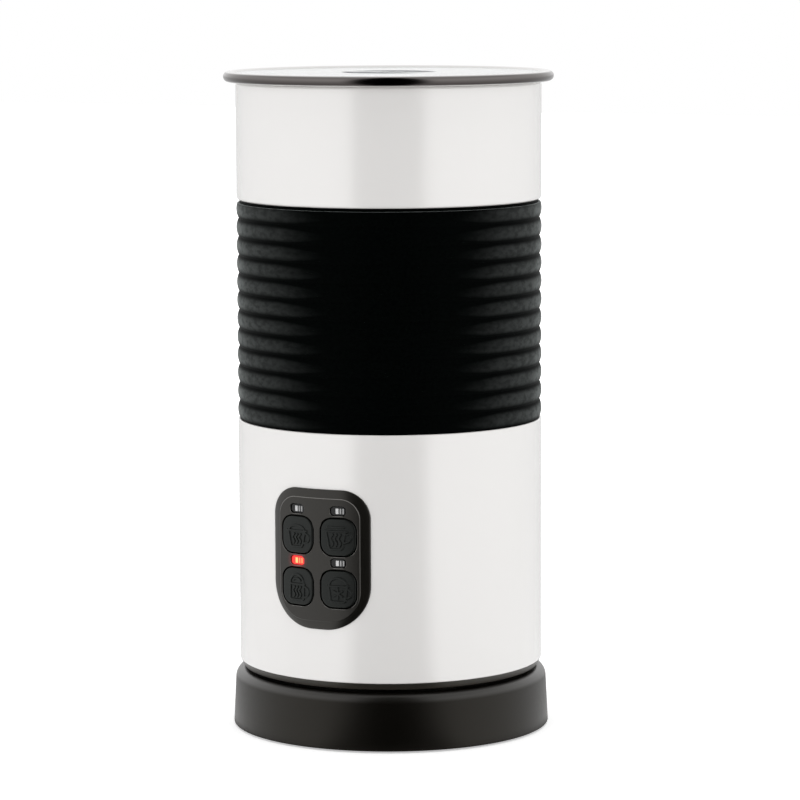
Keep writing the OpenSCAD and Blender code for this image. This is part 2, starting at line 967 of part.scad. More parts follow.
module motor_magnets() {
    span = 140;
    color("#3d3d3f")
        for (side = [0, 180])
            rotate([0, 0, side - span / 2])
                rotate_extrude(angle = span)
                    translate([can_in_r - seat - magnet_t, motor_z + armature_margin])
                        square([magnet_t, motor_h - can_t - armature_margin]);
}

module motor_end_cap() {
    color("#d8d2c2")
        difference() {
            rod(motor_r, motor_z - end_cap_h, motor_z);
            rod(bush_r + seat, 0, motor_z + cut);
        }
}

module motor_bushes() {
    color("#a7793f") {
        tube(shaft_r + run, bush_r, motor_z - end_cap_h, motor_z);
        tube(shaft_r + run, bush_r, bush_top_z - bush_h, bush_top_z);
    }
}

module motor_screws() {
    color("#7f8183")
        around([0, 180], motor_screw_ring_r) {
            rod(motor_screw_r, motor_top_z - can_t - motor_screw_tip, mount_top_z);
            rod(motor_screw_r * 1.9, mount_top_z, mount_top_z + motor_screw_head_h);
        }
}

module motor_shaft() {
    color("#c0c2c4")
        rod(shaft_r, motor_z - end_cap_h - shaft_tail, carrier_top_z - shaft_cover);
}

module motor_armature() {
    color("#8a4a2c")
        tube(shaft_r + press, armature_r, motor_z + armature_margin, bush_top_z - bush_h - 2);
}

module magnet_carrier() {
    color("#e8e4da")
        difference() {
            union() {
                rod(carrier_d / 2, carrier_z, carrier_top_z);
                rod(carrier_hub_r, carrier_hub_z, carrier_z + merge);
            }
            rod(shaft_r + press, 0, carrier_top_z - shaft_cover);
            around([45, 135, 225, 315], drive_magnet_ring_r)
                rod(drive_magnet_r + seat, carrier_top_z - drive_magnet_h, carrier_top_z + cut);
        }
}

module drive_magnets() {
    color("#b7b9bb")
        around([45, 135, 225, 315], drive_magnet_ring_r)
            rod(drive_magnet_r, carrier_top_z - drive_magnet_h, carrier_top_z);
}

// ---------- Whisk ----------

module whisk_hub() {
    groove_r = coil_r + seat;
    color("#2a2a2a")
        difference() {
            union() {
                rod(whisk_r, whisk_z, whisk_top_z);
                rod(whisk_stem_r, whisk_z, stem_top_z);
                rod(knob_r, stem_top_z - knob_h, stem_top_z);
            }
            rotate_extrude()
                translate([coil_ring_r, coil_z])
                    circle(r = groove_r);
            rod(cup_pin_r + run, whisk_z - cut, cup_pin_top_z + run);
            around([0, 90, 180, 270], whisk_magnet_ring_r)
                rod(whisk_magnet_r + seat, whisk_z - cut, whisk_z + whisk_magnet_h);
        }
}

module whisk_magnets() {
    color("#b7b9bb")
        around([0, 90, 180, 270], whisk_magnet_ring_r)
            rod(whisk_magnet_r, whisk_z, whisk_z + whisk_magnet_h);
}

// The outer shape of a spring coil bent into a ring
module whisk_coil() {
    color("#c4c6c8")
        rotate_extrude()
            translate([coil_ring_r, coil_z])
                difference() {
                    circle(r = coil_r);
                    circle(r = coil_r - wire_d);
                }
}

// ---------- Lid ----------

module lid() {
    color([0.85, 0.88, 0.9, 0.5])
        difference() {
            union() {
                rod(lid_r, lid_seat_z, lid_top_z);
                tube(skirt_r - lid_skirt_t, skirt_r, skirt_z, lid_seat_z + merge);
                rod(well_r + well_t, well_z - well_t, lid_seat_z + merge);
            }
            difference() {
                rod(well_r, well_z, lid_top_z + cut);
                translate([-well_r, -grip_bar_w / 2, well_z])
                    cube([2 * well_r, grip_bar_w, well_depth]);
            }
            tube(skirt_r - seal_groove, skirt_r + cut, seal_z, seal_z + seal_h);
        }
}

module lid_seal() {
    body_h = seal_h - 2 * seat;
    lip_out_r = cup_in_r - seal_lip_gap;
    groove_floor_r = skirt_r - seal_groove + seat;
    color("#d5d3cf")
        rotate_extrude() {
            translate([groove_floor_r, seal_z])
                square([skirt_r - groove_floor_r, body_h]);
            for (z = [0, body_h - fin_h])
                translate([groove_floor_r, seal_z + z])
                    square([lip_out_r - groove_floor_r, fin_h]);
        }
}

// ---------- Boards ----------

module power_board() {
    color("#2f6b45")
        difference() {
            intersection() {
                rod(board_r, board_z, board_top_z);
                translate([-board_r, board_front_clear - board_front_y, board_z])
                    cube([2 * board_r, 2 * board_r, board_t]);
            }
            around(posts, post_ring_r)
                rod(screw_r + seat, 0, board_top_z + cut);
        }
}

module relay() {
    color("#2350a0")
        translate([relay_place[0], relay_place[1], 0])
            block(relay_size, board_top_z);
}

module transformer() {
    color("#d8b23a")
        translate([transformer_place[0], transformer_place[1], 0]) {
            block([transformer_size[0], transformer_size[1], bobbin_h], board_top_z);
            block([transformer_size[0] - bobbin_rim, transformer_size[1] - bobbin_rim,
                   transformer_size[2] - bobbin_h], board_top_z + bobbin_h);
        }
}

module capacitor() {
    color("#20242b")
        translate([capacitor_place[0], capacitor_place[1], 0])
            rod(capacitor_r, board_top_z, board_top_z + capacitor_h);
}

module terminal_block() {
    color("#3f7f55")
        translate([0, -element_ring_r, 0])
            block(block_size, board_top_z);
}

// Screws that hold the power board on its posts and the control board on the panel
module board_screws() {
    color("#9a9a98") {
        around(posts, post_ring_r) {
            rod(screw_r, board_z - board_screw_len, board_top_z);
            rod(screw_head_r, board_top_z, board_top_z + screw_head_h);
        }
        for (z = control_boss_z)
            facing(0, z)
                translate([0, 0, control_y - board_t - control_screw_head_t]) {
                    cylinder(r = 2 * control_screw_r, h = control_screw_head_t);
                    translate([0, 0, control_screw_head_t])
                        cylinder(r = control_screw_r, h = board_t + control_screw_len);
                }
    }
}

// Straight leads: plug to power board, motor to power board and terminal block to heater
module internal_wiring() {
    color("#a33a2c") {
        around(posts, mains_lead_ring_r)
            rod(lead_r, plug_cap_z + plug_cap_t + tab_h, board_z);
        for (x = [-1, 1])
            translate([x * motor_lead_x, 0, 0])
                rod(motor_lead_r, board_top_z, motor_z - end_cap_h);
        around([270 - element_gap_a, 270 + element_gap_a], element_ring_r)
            rod(lead_r, board_top_z + block_size[2], element_pin_z);
    }
}

// ---------- Control panel ----------

// One moulding: a raised face with a lower border, and a neck that reaches in through the shell's window
module control_panel() {
    color("#262422")
        difference() {
            union() {
                curved_panel(0, body_r + seat, body_r + panel_proud / 2);
                difference() {
                    intersection() {
                        panel_prism(neck_inset, control_y, panel_face_r + cut);
                        rod(panel_face_r, shell_z, lower_top_z);
                    }
                    intersection() {
                        panel_prism(neck_inset + neck_t, control_y - cut, body_r);
                        rod(panel_back_r, shell_z, lower_top_z);
                    }
                }
                for (z = control_boss_z)
                    facing(0, z)
                        translate([0, 0, control_y])
                            cylinder(r = control_boss_r, h = panel_back_r - control_y + seat);
            }
            for (p = button_places)
                curved_pad(button_w + 2 * button_gap, button_w + 2 * button_gap, button_r + button_gap,
                           p[0], p[1], body_r - hole_reach, body_r + hole_reach);
            for (p = button_places)
                curved_pad(window_w + 2 * fit, window_h + 2 * fit, window_corner + fit,
                           p[0], p[1] + window_rise, body_r - hole_reach, body_r + hole_reach);
            for (z = control_boss_z)
                facing(0, z)
                    translate([0, 0, control_y - cut])
                        cylinder(r = control_screw_r + seat, h = cut + control_screw_len + cut);
        }
}

module control_board() {
    color("#2f6b45")
        difference() {
            panel_prism(neck_inset + control_board_gap, control_y - board_t, control_y);
            for (z = control_boss_z)
                facing(0, z)
                    translate([0, 0, control_y - board_t - cut])
                        cylinder(r = control_screw_r + seat, h = board_t + 2 * cut);
        }
}

// Four push switches on the control board, one behind each button's stem
module tact_switches() {
    stem_x = (control_y + switch_h) * tan(column_a);
    color("#2c2c2c")
        for (x = [-1, 1], z = [lower_row_z, upper_row_z])
            facing(0, z)
                translate([x * stem_x, 0, control_y]) {
                    linear_extrude(switch_h)
                        square(switch_w, center = true);
                    cylinder(r = plunger_r, h = switch_h + plunger_h);
                }
}

module leds() {
    led_x = control_y * tan(column_a);
    color("#efeee6")
        for (x = [-1, 1], z = [lower_row_z, upper_row_z])
            translate([x * led_x, led_size[1] / 2 - control_y - led_size[1], 0])
                block(led_size, z + window_rise - led_size[2] / 2);
}

module light_pipe(place) {
    curved_pad(window_w, window_h, window_corner, place[0], place[1] + window_rise,
               control_y + pipe_gap, panel_face_r - window_depth);
}

module led_windows() {
    color("#d8dadb")
        for (i = [0, 1, 3])
            light_pipe(button_places[i]);
}

module lit_led_window() {
    color("#ff3b26")
        light_pipe(button_places[2]);
}

// A flat cable from the back of the control board down to the power board
module ribbon_cable() {
    back_y = control_y - board_t;
    front_y = board_front_y - ribbon_bend;
    color("#b8b8b4")
        translate([-ribbon_w / 2, 0, 0]) {
            translate([0, -back_y, ribbon_z])
                cube([ribbon_w, back_y - front_y, ribbon_t]);
            translate([0, -front_y - ribbon_t, board_top_z])
                cube([ribbon_w, ribbon_t, ribbon_z - board_top_z]);
        }
}

// A button: curved cap, retaining flange above and below it, and a stem to its switch
module push_button(place) {
    color("#2a2826")
        union() {
            curved_pad(button_w, button_w, button_r, place[0], place[1],
                       button_flange_top_r - button_flange_t, button_face_r);
            curved_pad(button_flange_w, button_flange_h, button_flange_corner, place[0], place[1],
                       button_flange_top_r - button_flange_t, button_flange_top_r);
            facing(place[0], place[1])
                translate([0, 0, stem_end_r])
                    cylinder(r = stem_r, h = button_flange_top_r - stem_end_r);
        }
}

module hot_froth_button() {
    push_button(button_places[0]);
}

module hot_milk_button() {
    push_button(button_places[1]);
}

module dense_froth_button() {
    push_button(button_places[2]);
}

module cold_froth_button() {
    push_button(button_places[3]);
}

base_housing();
base_floor();
base_feet();
base_screws();
base_socket();
base_contacts();
cord_gland();
cord_clamp();
clamp_screws();
locating_collar();
bottom_cover();
cover_screws();
body_plug();
plug_contacts();
lower_shell();
grip_sleeve();
upper_shell();
inner_housing();
cup();
cup_gasket();
cup_pin();
heater_plate();
heater_element();
thermostat();
temperature_sensor();
motor_mount();
mount_nuts();
motor_can();
motor_magnets();
motor_end_cap();
motor_bushes();
motor_screws();
motor_shaft();
motor_armature();
magnet_carrier();
drive_magnets();
whisk_hub();
whisk_magnets();
whisk_coil();
lid();
lid_seal();
power_board();
relay();
capacitor();
transformer();
terminal_block();
board_screws();
internal_wiring();
control_panel();
control_board();
tact_switches();
leds();
led_windows();
lit_led_window();
ribbon_cable();
hot_froth_button();
hot_milk_button();
dense_froth_button();
cold_froth_button();
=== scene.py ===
"""Looks of an electric milk frother on a turning base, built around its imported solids.

Sizes in the classes are millimetres and the finished meshes are metres. The base stands on the plane
z = 0 and the control panel faces -Y.
"""

import json
import logging
import math
from dataclasses import dataclass
from enum import Enum
from typing import Callable, Iterable, Optional, Sequence, Union

import bpy
import numpy as np
from mathutils import Matrix, Vector
from mathutils.geometry import delaunay_2d_cdt

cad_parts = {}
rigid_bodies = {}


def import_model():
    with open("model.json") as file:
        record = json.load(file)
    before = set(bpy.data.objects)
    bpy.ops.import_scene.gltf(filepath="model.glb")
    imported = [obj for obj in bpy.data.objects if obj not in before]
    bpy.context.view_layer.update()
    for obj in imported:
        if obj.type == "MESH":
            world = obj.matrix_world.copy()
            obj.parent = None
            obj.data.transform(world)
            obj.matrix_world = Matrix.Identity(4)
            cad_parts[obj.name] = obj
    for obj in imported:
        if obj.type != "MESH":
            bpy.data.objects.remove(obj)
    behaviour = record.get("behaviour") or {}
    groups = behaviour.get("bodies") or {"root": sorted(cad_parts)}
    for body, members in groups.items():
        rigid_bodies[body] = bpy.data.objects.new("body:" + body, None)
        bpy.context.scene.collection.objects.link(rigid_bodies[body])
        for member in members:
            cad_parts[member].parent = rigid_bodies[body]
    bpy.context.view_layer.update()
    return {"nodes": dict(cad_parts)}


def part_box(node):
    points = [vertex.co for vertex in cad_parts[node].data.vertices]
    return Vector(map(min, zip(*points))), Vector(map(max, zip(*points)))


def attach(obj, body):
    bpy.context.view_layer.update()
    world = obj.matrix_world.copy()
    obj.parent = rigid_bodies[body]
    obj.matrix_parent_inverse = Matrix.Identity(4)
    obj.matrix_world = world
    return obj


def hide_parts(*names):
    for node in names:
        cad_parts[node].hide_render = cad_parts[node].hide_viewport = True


for leftover in list(bpy.data.objects):
    bpy.data.objects.remove(leftover)
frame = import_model()

log = logging.getLogger("frother")
MM = 0.001
TINY = 1e-6
TAU = 2 * math.pi
Point = tuple[float, float]
Colour = tuple[float, float, float]
Spot = tuple[float, float, float]
BLACK: Colour = (0.0, 0.0, 0.0)
Amount = Union["Term", float, Sequence[float]]


# ---------- Shader expressions ----------


class Term:
    """One output socket of a node tree, ready for arithmetic."""

    def __init__(self, nodes: "Nodes", socket: bpy.types.NodeSocket) -> None:
        """Keeps the socket and the tree that it belongs to."""
        self.nodes = nodes
        self.socket = socket

    def _math(self, operation: str, *values: Amount) -> "Term":
        """Adds a Math node on the given values."""
        inputs = dict(enumerate(values))
        return self.nodes.add("ShaderNodeMath", {"operation": operation}, inputs)

    def __add__(self, other: Amount) -> "Term":
        """This plus the other."""
        return self._math("ADD", self, other)

    def __sub__(self, other: Amount) -> "Term":
        """This less the other."""
        return self._math("SUBTRACT", self, other)

    def __rsub__(self, other: Amount) -> "Term":
        """The other less this."""
        return self._math("SUBTRACT", other, self)

    def __mul__(self, other: Amount) -> "Term":
        """This times the other."""
        return self._math("MULTIPLY", self, other)

    def __truediv__(self, other: Amount) -> "Term":
        """This over the other."""
        return self._math("DIVIDE", self, other)

    def __gt__(self, other: Amount) -> "Term":
        """One where this is the greater, zero elsewhere."""
        return self._math("GREATER_THAN", self, other)

    def __lt__(self, other: Amount) -> "Term":
        """One where this is the smaller, zero elsewhere."""
        return self._math("LESS_THAN", self, other)

    def __abs__(self) -> "Term":
        """This without its sign."""
        return self._math("ABSOLUTE", self)

    __radd__ = __add__
    __rmul__ = __mul__

    def most(self, other: Amount) -> "Term":
        """The greater of this and the other."""
        return self._math("MAXIMUM", self, other)

    def root(self) -> "Term":
        """The square root of this."""
        return self._math("SQRT", self)

    def wave(self) -> "Term":
        """The sine of this."""
        return self._math("SINE", self)

    def angle(self, other: Amount) -> "Term":
        """The angle whose tangent is this over the other."""
        return self._math("ARCTAN2", self, other)

    def fade(self, start: float, end: float) -> "Term":
        """Runs smoothly from zero at the start to one at the end."""
        inputs = {"Value": self, "From Min": start, "From Max": end}
        return self.nodes.add("ShaderNodeMapRange", {"interpolation_type": "SMOOTHSTEP"}, inputs)


class Nodes:
    """A node tree that is filled in code."""

    def __init__(self, tree: bpy.types.NodeTree) -> None:
        """Empties the tree and keeps it."""
        self.tree = tree
        tree.nodes.clear()

    def add(self, kind: str, settings: Optional[dict] = None, inputs: Optional[dict] = None,
            output: Union[int, str] = 0) -> Term:
        """Adds a node.

        Args:
            kind: The node's type.
            settings: Its properties, set first.
            inputs: Values or terms by socket name or number.
            output: The socket that is returned.

        Returns:
            The chosen output as a term.
        """
        node = self.tree.nodes.new(kind)
        for name, value in (settings or {}).items():
            setattr(node, name, value)
        for name, value in (inputs or {}).items():
            if isinstance(value, Term):
                self.tree.links.new(value.socket, node.inputs[name])
            else:
                node.inputs[name].default_value = value
        return Term(self, node.outputs[output]) if len(node.outputs) else Term(self, None)

    def mix(self, mask: Amount, low: Amount, high: Amount) -> Term:
        """Blends two colours by a mask."""
        inputs = {0: mask, 6: self.opaque(low), 7: self.opaque(high)}
        return self.add("ShaderNodeMix", {"data_type": "RGBA"}, inputs, 2)

    @staticmethod
    def opaque(colour: Amount) -> Amount:
        """A colour with a full fourth channel, where it is plain numbers."""
        return colour if isinstance(colour, Term) else (*colour, 1.0)

    def place(self) -> Term:
        """The point on the piece, in millimetres from the frame's origin."""
        point = self.add("ShaderNodeTexCoord", output="Object")
        return self.add("ShaderNodeVectorMath", {"operation": "SCALE"}, {0: point, "Scale": 1 / MM})

    def split(self, point: Term) -> tuple[Term, Term, Term]:
        """The three coordinates of a point."""
        node = self.add("ShaderNodeSeparateXYZ", inputs={0: point}).socket.node
        return tuple(Term(self, output) for output in node.outputs)

    def axes(self) -> tuple[Term, Term, Term]:
        """The three coordinates of the point on the piece, in millimetres."""
        return self.split(self.place())

    def reach(self) -> Term:
        """The point's distance from the Z axis, in millimetres."""
        x, y, _ = self.axes()
        return (x * x + y * y).root()

    def facing(self) -> tuple[Term, Term, Term]:
        """The three parts of the surface's normal."""
        return self.split(self.add("ShaderNodeTexCoord", output="Normal"))

    def grey(self, level: Amount) -> Term:
        """The colour with the same level in its three channels."""
        return self.add("ShaderNodeCombineXYZ", inputs={0: level, 1: level, 2: level})

    def rings(self, scale: float) -> Term:
        """Noise that runs round the Z axis, as a lathe leaves it, with so many lumps to a millimetre."""
        places = {0: self.reach() * scale, 1: self.axes()[2] * scale}
        section = self.add("ShaderNodeCombineXYZ", inputs=places)
        return self.noise(1.0, 2.0, section)

    def stretched(self, x: float, y: float, z: float) -> Term:
        """The point with each of its coordinates multiplied by its own factor."""
        inputs = {0: self.place(), 1: (x, y, z)}
        return self.add("ShaderNodeVectorMath", {"operation": "MULTIPLY"}, inputs)

    def noise(self, scale: float, detail: float = 2.0, where: Optional[Term] = None) -> Term:
        """Soft noise from zero to one, with so many lumps to a millimetre."""
        inputs = {"Vector": where or self.place(), "Scale": scale, "Detail": detail}
        return self.add("ShaderNodeTexNoise", inputs=inputs)

    def speckle(self, scale: float) -> Term:
        """The distance to the nearest of scattered points, with so many to a millimetre."""
        return self.add("ShaderNodeTexVoronoi", inputs={"Vector": self.place(), "Scale": scale})

    def bump(self, height: Term, depth: float) -> Term:
        """A normal raised by a height from zero to one.

        Args:
            height: The height.
            depth: What a height of one stands for, in millimetres.

        Returns:
            The normal.
        """
        return self.add("ShaderNodeBump", inputs={"Height": height, "Distance": depth * MM})

    def surface(self, **sockets: Amount) -> Term:
        """A Principled shader, with underscores for the spaces in its sockets' names."""
        inputs = {}
        for name, value in sockets.items():
            title = name.replace("_", " ")
            inputs[title] = self.opaque(value) if isinstance(value, tuple) else value
        return self.add("ShaderNodeBsdfPrincipled", inputs=inputs)

    def show(self, shader: Term, kind: str = "ShaderNodeOutputMaterial") -> None:
        """Joins a shader to the tree's output."""
        self.add(kind, inputs={"Surface": shader})


def painted(name: str, shader: Callable[[Nodes], Term]) -> bpy.types.Material:
    """A new material.

    Args:
        name: The material's name.
        shader: Draws its shader.

    Returns:
        The material.
    """
    made = bpy.data.materials.new(name)
    made.use_nodes = True
    nodes = Nodes(made.node_tree)
    nodes.show(shader(nodes))
    return made


# ---------- Finishes ----------


@dataclass(frozen=True)
class Finish:
    """What a surface is made of. Each kind of finish fills the shader's sockets in its own way."""

    name: str
    colour: Colour = (0.5, 0.5, 0.5)
    roughness: float = 0.4

    def material(self) -> bpy.types.Material:
        """The finish as a material, made once."""
        title = f"finish_{self.name}"
        return bpy.data.materials.get(title) or painted(title, self.shader)

    def shader(self, nodes: Nodes) -> Term:
        """The finish's shader."""
        return nodes.surface(**self.sockets(nodes))

    def sockets(self, nodes: Nodes) -> dict[str, Amount]:
        """The shader's values, by socket."""
        raise NotImplementedError

    def shades(self, nodes: Nodes, mask: Term, spread: float) -> Term:
        """The colour, made darker and lighter by a mask about its middle."""
        low = tuple(c * (1 - spread) for c in self.colour)
        high = tuple(min(1.0, c * (1 + spread)) for c in self.colour)
        return nodes.mix(mask, low, high)


@dataclass(frozen=True)
class GlossPaint(Finish):
    """Sprayed paint under a clear coat, with a faint orange peel."""

    specular: float = 0.9
    coat_roughness: float = 0.07
    coat_ior: float = 1.6
    peel_scale: float = 0.35
    peel_depth: float = 0.004

    def sockets(self, nodes: Nodes) -> dict[str, Amount]:
        """The paint's values."""
        cloud = nodes.noise(0.03, 3.0)
        peel = nodes.noise(self.peel_scale, 2.0)
        dust = nodes.noise(6.0, 1.0)
        return dict(
            Base_Color=self.shades(nodes, cloud, 0.008),
            Roughness=self.roughness + 0.06 * dust,
            Normal=nodes.bump(peel, self.peel_depth),
            Specular_IOR_Level=self.specular,
            Coat_Weight=0.97 + 0.03 * cloud,
            Coat_Roughness=self.coat_roughness,
            Coat_IOR=self.coat_ior,
        )


@dataclass(frozen=True)
class Moulded(Finish):
    """Moulded plastic with a fine spark-eroded grain."""

    specular: float = 0.4
    tint: Colour = (1.0, 0.97, 0.92)
    grain_scale: float = 5.0
    grain_depth: float = 0.006
    mottle: float = 0.08

    def sockets(self, nodes: Nodes) -> dict[str, Amount]:
        """The plastic's values."""
        grain = nodes.noise(self.grain_scale, 3.0)
        flow = nodes.noise(0.05, 2.0)
        wear = nodes.noise(0.6, 4.0)
        return dict(
            Base_Color=self.shades(nodes, flow, self.mottle),
            Roughness=(self.roughness - 0.05) + 0.06 * wear + 0.04 * grain,
            Normal=nodes.bump(grain, self.grain_depth),
            Specular_IOR_Level=self.specular,
            Specular_Tint=self.tint,
        )


@dataclass(frozen=True)
class BasePlastic(Moulded):
    """The base's plastic: a clear coat on its up-facing rounded shoulder gives it a painted highlight."""

    shoulder_highlight_coat: float = 0.75
    highlight_coat_roughness: float = 0.3
    shoulder: tuple[float, float] = (0.05, 0.5)

    def sockets(self, nodes: Nodes) -> dict[str, Amount]:
        """The plastic's values."""
        _, _, up = nodes.facing()
        # Painted highlight: the coat is laid only where the surface faces up, so the shoulder catches the
        # light from above.
        return super().sockets(nodes) | dict(
            Coat_Weight=up.fade(*self.shoulder) * self.shoulder_highlight_coat, Coat_Roughness=self.highlight_coat_roughness)


@dataclass(frozen=True)
class PanelPlastic(Moulded):
    """The panel's plastic: the up-facing moulded edges round its holes and along its crease carry a painted
    highlight, and the lit window's light is painted on it as a glow.
    """

    painted_highlight_colour: Colour = (0.15, 0.145, 0.138)
    edge_r: tuple[float, float] = (50.13, 50.28)
    highlight_turn: tuple[float, float] = (-0.35, 0.45)
    lit_place: Point = (-7.25, 59.8)
    halo: Colour = (0.1, 0.006, 0.01)
    halo_reach: tuple[float, float] = (1.6, 4.2)

    def sockets(self, nodes: Nodes) -> dict[str, Amount]:
        """The plastic's values."""
        x, y, z = nodes.axes()
        _, _, up = nodes.facing()
        reach = nodes.reach()
        start, end = self.edge_r
        # Painted highlight: where the moulded edges face up, their colour is made paler in place of light
        # falling on them from above.
        edge = (reach > start) * (reach < end) * up.fade(*self.highlight_turn) * (y < -start / 2)
        u, v = x - self.lit_place[0], z - self.lit_place[1]
        shine = (1.0 - (u * u + v * v).root().fade(*self.halo_reach)) * (reach > start)
        made = super().sockets(nodes)
        return made | dict(
            Base_Color=nodes.mix(edge, made["Base_Color"], self.painted_highlight_colour),
            Emission_Color=nodes.mix(shine, BLACK, self.halo),
            Emission_Strength=1.0,
        )


@dataclass(frozen=True)
class Rubber(Finish):
    """Soft moulded rubber with a mottled, slightly dusty skin."""

    specular: float = 0.25
    mottle: float = 0.35
    mottle_scale: float = 1.1
    skin_depth: float = 0.02
    bloom: float = 0.0

    def sockets(self, nodes: Nodes) -> dict[str, Amount]:
        """The rubber's values."""
        pores = nodes.noise(3.2, 4.0)
        blotch = nodes.noise(self.mottle_scale, 5.0)
        skin = 0.6 * blotch + 0.4 * pores
        return dict(
            Base_Color=self.shades(nodes, blotch.fade(0.3, 0.7), self.mottle),
            Roughness=(self.roughness - 0.1) + 0.2 * blotch,
            Normal=nodes.bump(skin, self.skin_depth),
            Specular_IOR_Level=self.specular,
            Sheen_Weight=self.bloom,
            Sheen_Roughness=0.33,
        )


@dataclass(frozen=True)
class RibbedRubber(Rubber):
    """The sleeve's rubber: dull black in its grooves as painted shade, with a painted sheen on the crests of
    the ribs, smudged by a dust-like noise.
    """

    crest_r: float = 49.05
    crest_fade: float = 0.55
    crest_turn: tuple[float, float] = (0.5, 0.75)
    crest_specular: float = 0.02
    crest_bloom: float = 1.0
    sheen_tint: Colour = (0.93, 1.0, 0.98)
    sheen_roughness: float = 0.4
    sheen_turn: tuple[float, float] = (0.08, 0.36)
    sheen_least: float = 0.4

    def shader(self, nodes: Nodes) -> Term:
        """The rubber's shader: the grooves' dark one and the crests' one with the painted sheen, mixed."""
        groove = self.sockets(nodes) | dict(Sheen_Roughness=self.sheen_roughness, Sheen_Tint=self.sheen_tint)
        crest = groove | dict(Specular_IOR_Level=self.crest_specular, Sheen_Weight=self.crest_bloom)
        # The mix factor is the painted sheen on the crests; the grooves that get none of it are painted
        # shade.
        return nodes.add("ShaderNodeMixShader", inputs={
            0: self.painted_sheen_and_dust(nodes), 1: nodes.surface(**groove), 2: nodes.surface(**crest)})

    def painted_sheen_and_dust(self, nodes: Nodes) -> Term:
        """How much of the painted sheen shows: on the crests and up-facing sides, more where the surface
        turns away, smudged by a dust-like noise; the grooves left without it are painted shade.
        """
        _, _, up = nodes.facing()
        high = nodes.reach().fade(self.crest_r - self.crest_fade, self.crest_r)
        crest = high.most(up.fade(*self.crest_turn))
        smudge = nodes.noise(0.4, 6.0, nodes.stretched(1.0, 1.0, 1.8)).fade(0.3, 0.65)
        turned = nodes.add("ShaderNodeLayerWeight", inputs={"Blend": 0.5}, output="Facing")
        band = (crest + turned.fade(*self.sheen_turn) - 1.0).most(0.0)
        falloff = (1.3 - 1.45 * turned).most(self.sheen_least)
        return band * falloff * (0.55 + 0.45 * smudge)


class Working(Enum):
    """How a metal surface was worked."""

    PLAIN = "plain"
    TURNED = "turned"
    CAST = "cast"


@dataclass(frozen=True)
class Metal(Finish):
    """Bare metal with the marks of how it was worked."""

    working: Working = Working.PLAIN
    mark_depth: float = 0.002

    def marks(self, nodes: Nodes) -> Term:
        """The height of the marks: fine scratches, turned rings or a cast skin."""
        if self.working is Working.CAST:
            return 0.5 * nodes.noise(1.6, 4.0) + 0.5 * nodes.speckle(2.4)
        if self.working is Working.TURNED:
            return nodes.rings(9.0)
        return nodes.noise(2.5, 4.0, nodes.stretched(1.0, 1.0, 0.15))

    def sockets(self, nodes: Nodes) -> dict[str, Amount]:
        """The metal's values."""
        marks = self.marks(nodes)
        stain = nodes.noise(0.09, 3.0)
        return dict(
            Base_Color=self.shades(nodes, stain, 0.05),
            Roughness=(self.roughness - 0.04) + 0.05 * stain + 0.05 * marks,
            Metallic=1.0,
            Normal=nodes.bump(marks, self.mark_depth),
        )


@dataclass(frozen=True)
class CoatedCup(Finish):
    """The steel cup: polished on its rim and a grey non-stick coating inside, below the flange."""

    coating: Colour = (0.045, 0.045, 0.048)
    inner_r: float = 44.0
    floor_z: float = 112.0
    rim_z: float = 207.5
    bead_shade: Colour = (0.05, 0.044, 0.042)
    bead_highlight: Colour = (0.15, 0.138, 0.134)
    mark_levels: tuple[float, ...] = (147.0, 176.0)
    mark_colour: Colour = (0.32, 0.32, 0.33)

    def bead(self, nodes: Nodes) -> Term:
        """The steel's colour: darker on the outside of the rolled rim as painted shade, running to a painted
        highlight on its upper side.
        """
        x, y, z = nodes.axes()
        steel = self.shades(nodes, nodes.noise(0.08, 3.0), 0.03)
        facing_x, facing_y, up = nodes.facing()
        outward = ((facing_x * x + facing_y * y) / nodes.reach()).fade(0.3, 0.75)
        # Painted shade and highlight: the bead's outside is darker where it faces down and paler where it
        # faces up.
        bead = nodes.mix(up.fade(-0.7, 0.5), self.bead_shade, self.bead_highlight)
        return nodes.mix(outward * (z > self.rim_z), steel, bead)

    def coat(self, nodes: Nodes) -> Term:
        """The coating's colour: flecked, with the fill marks."""
        _, _, z = nodes.axes()
        near = 0.0
        for level in self.mark_levels:
            near = (1.0 - abs(z - level).fade(0.25, 0.55)) + near
        flakes = nodes.speckle(1.6).fade(0.1, 0.3)
        return nodes.mix(near, nodes.mix(flakes, tuple(2.6 * c for c in self.coating), self.coating),
                         self.mark_colour)

    def sockets(self, nodes: Nodes) -> dict[str, Amount]:
        """The cup's values."""
        _, _, z = nodes.axes()
        turned = nodes.rings(6.0)
        inside = (nodes.reach() < self.inner_r + 0.2) * (z > self.floor_z - 0.2) * (z < self.rim_z)
        return dict(
            Base_Color=nodes.mix(inside, self.bead(nodes), self.coat(nodes)),
            Metallic=1.0 - inside,
            Roughness=(1.0 - inside) * (self.roughness + 0.04 * turned) + inside * 0.38,
            Normal=nodes.bump(turned * 0.3 + inside * nodes.noise(2.0, 3.0), 0.004),
        )


@dataclass(frozen=True)
class ClearPlastic(Finish):
    """Clear moulded plastic, slightly milky."""

    def sockets(self, nodes: Nodes) -> dict[str, Amount]:
        """The plastic's values."""
        haze = nodes.noise(0.12, 3.0)
        return dict(
            Base_Color=self.shades(nodes, haze, 0.02),
            Roughness=self.roughness + 0.05 * haze,
            Normal=nodes.bump(nodes.noise(0.2, 1.0), 0.003),
            Transmission_Weight=0.76,
            IOR=1.49,
        )


@dataclass(frozen=True)
class Winding(Finish):
    """Enamelled wire wound in rows round a vertical axis."""

    wire: float = 0.35
    metallic: float = 1.0

    def sockets(self, nodes: Nodes) -> dict[str, Amount]:
        """The winding's values."""
        _, _, z = nodes.axes()
        crest = abs((z * (math.pi / self.wire)).wave())
        return dict(
            # Painted shade: the colour runs darker in the valleys between the turns and lighter on their
            # crests.
            Base_Color=self.shades(nodes, crest, 0.3),
            Roughness=self.roughness + 0.1 * nodes.noise(1.0, 2.0),
            Metallic=self.metallic,
            Normal=nodes.bump(crest, self.wire / 3),
        )


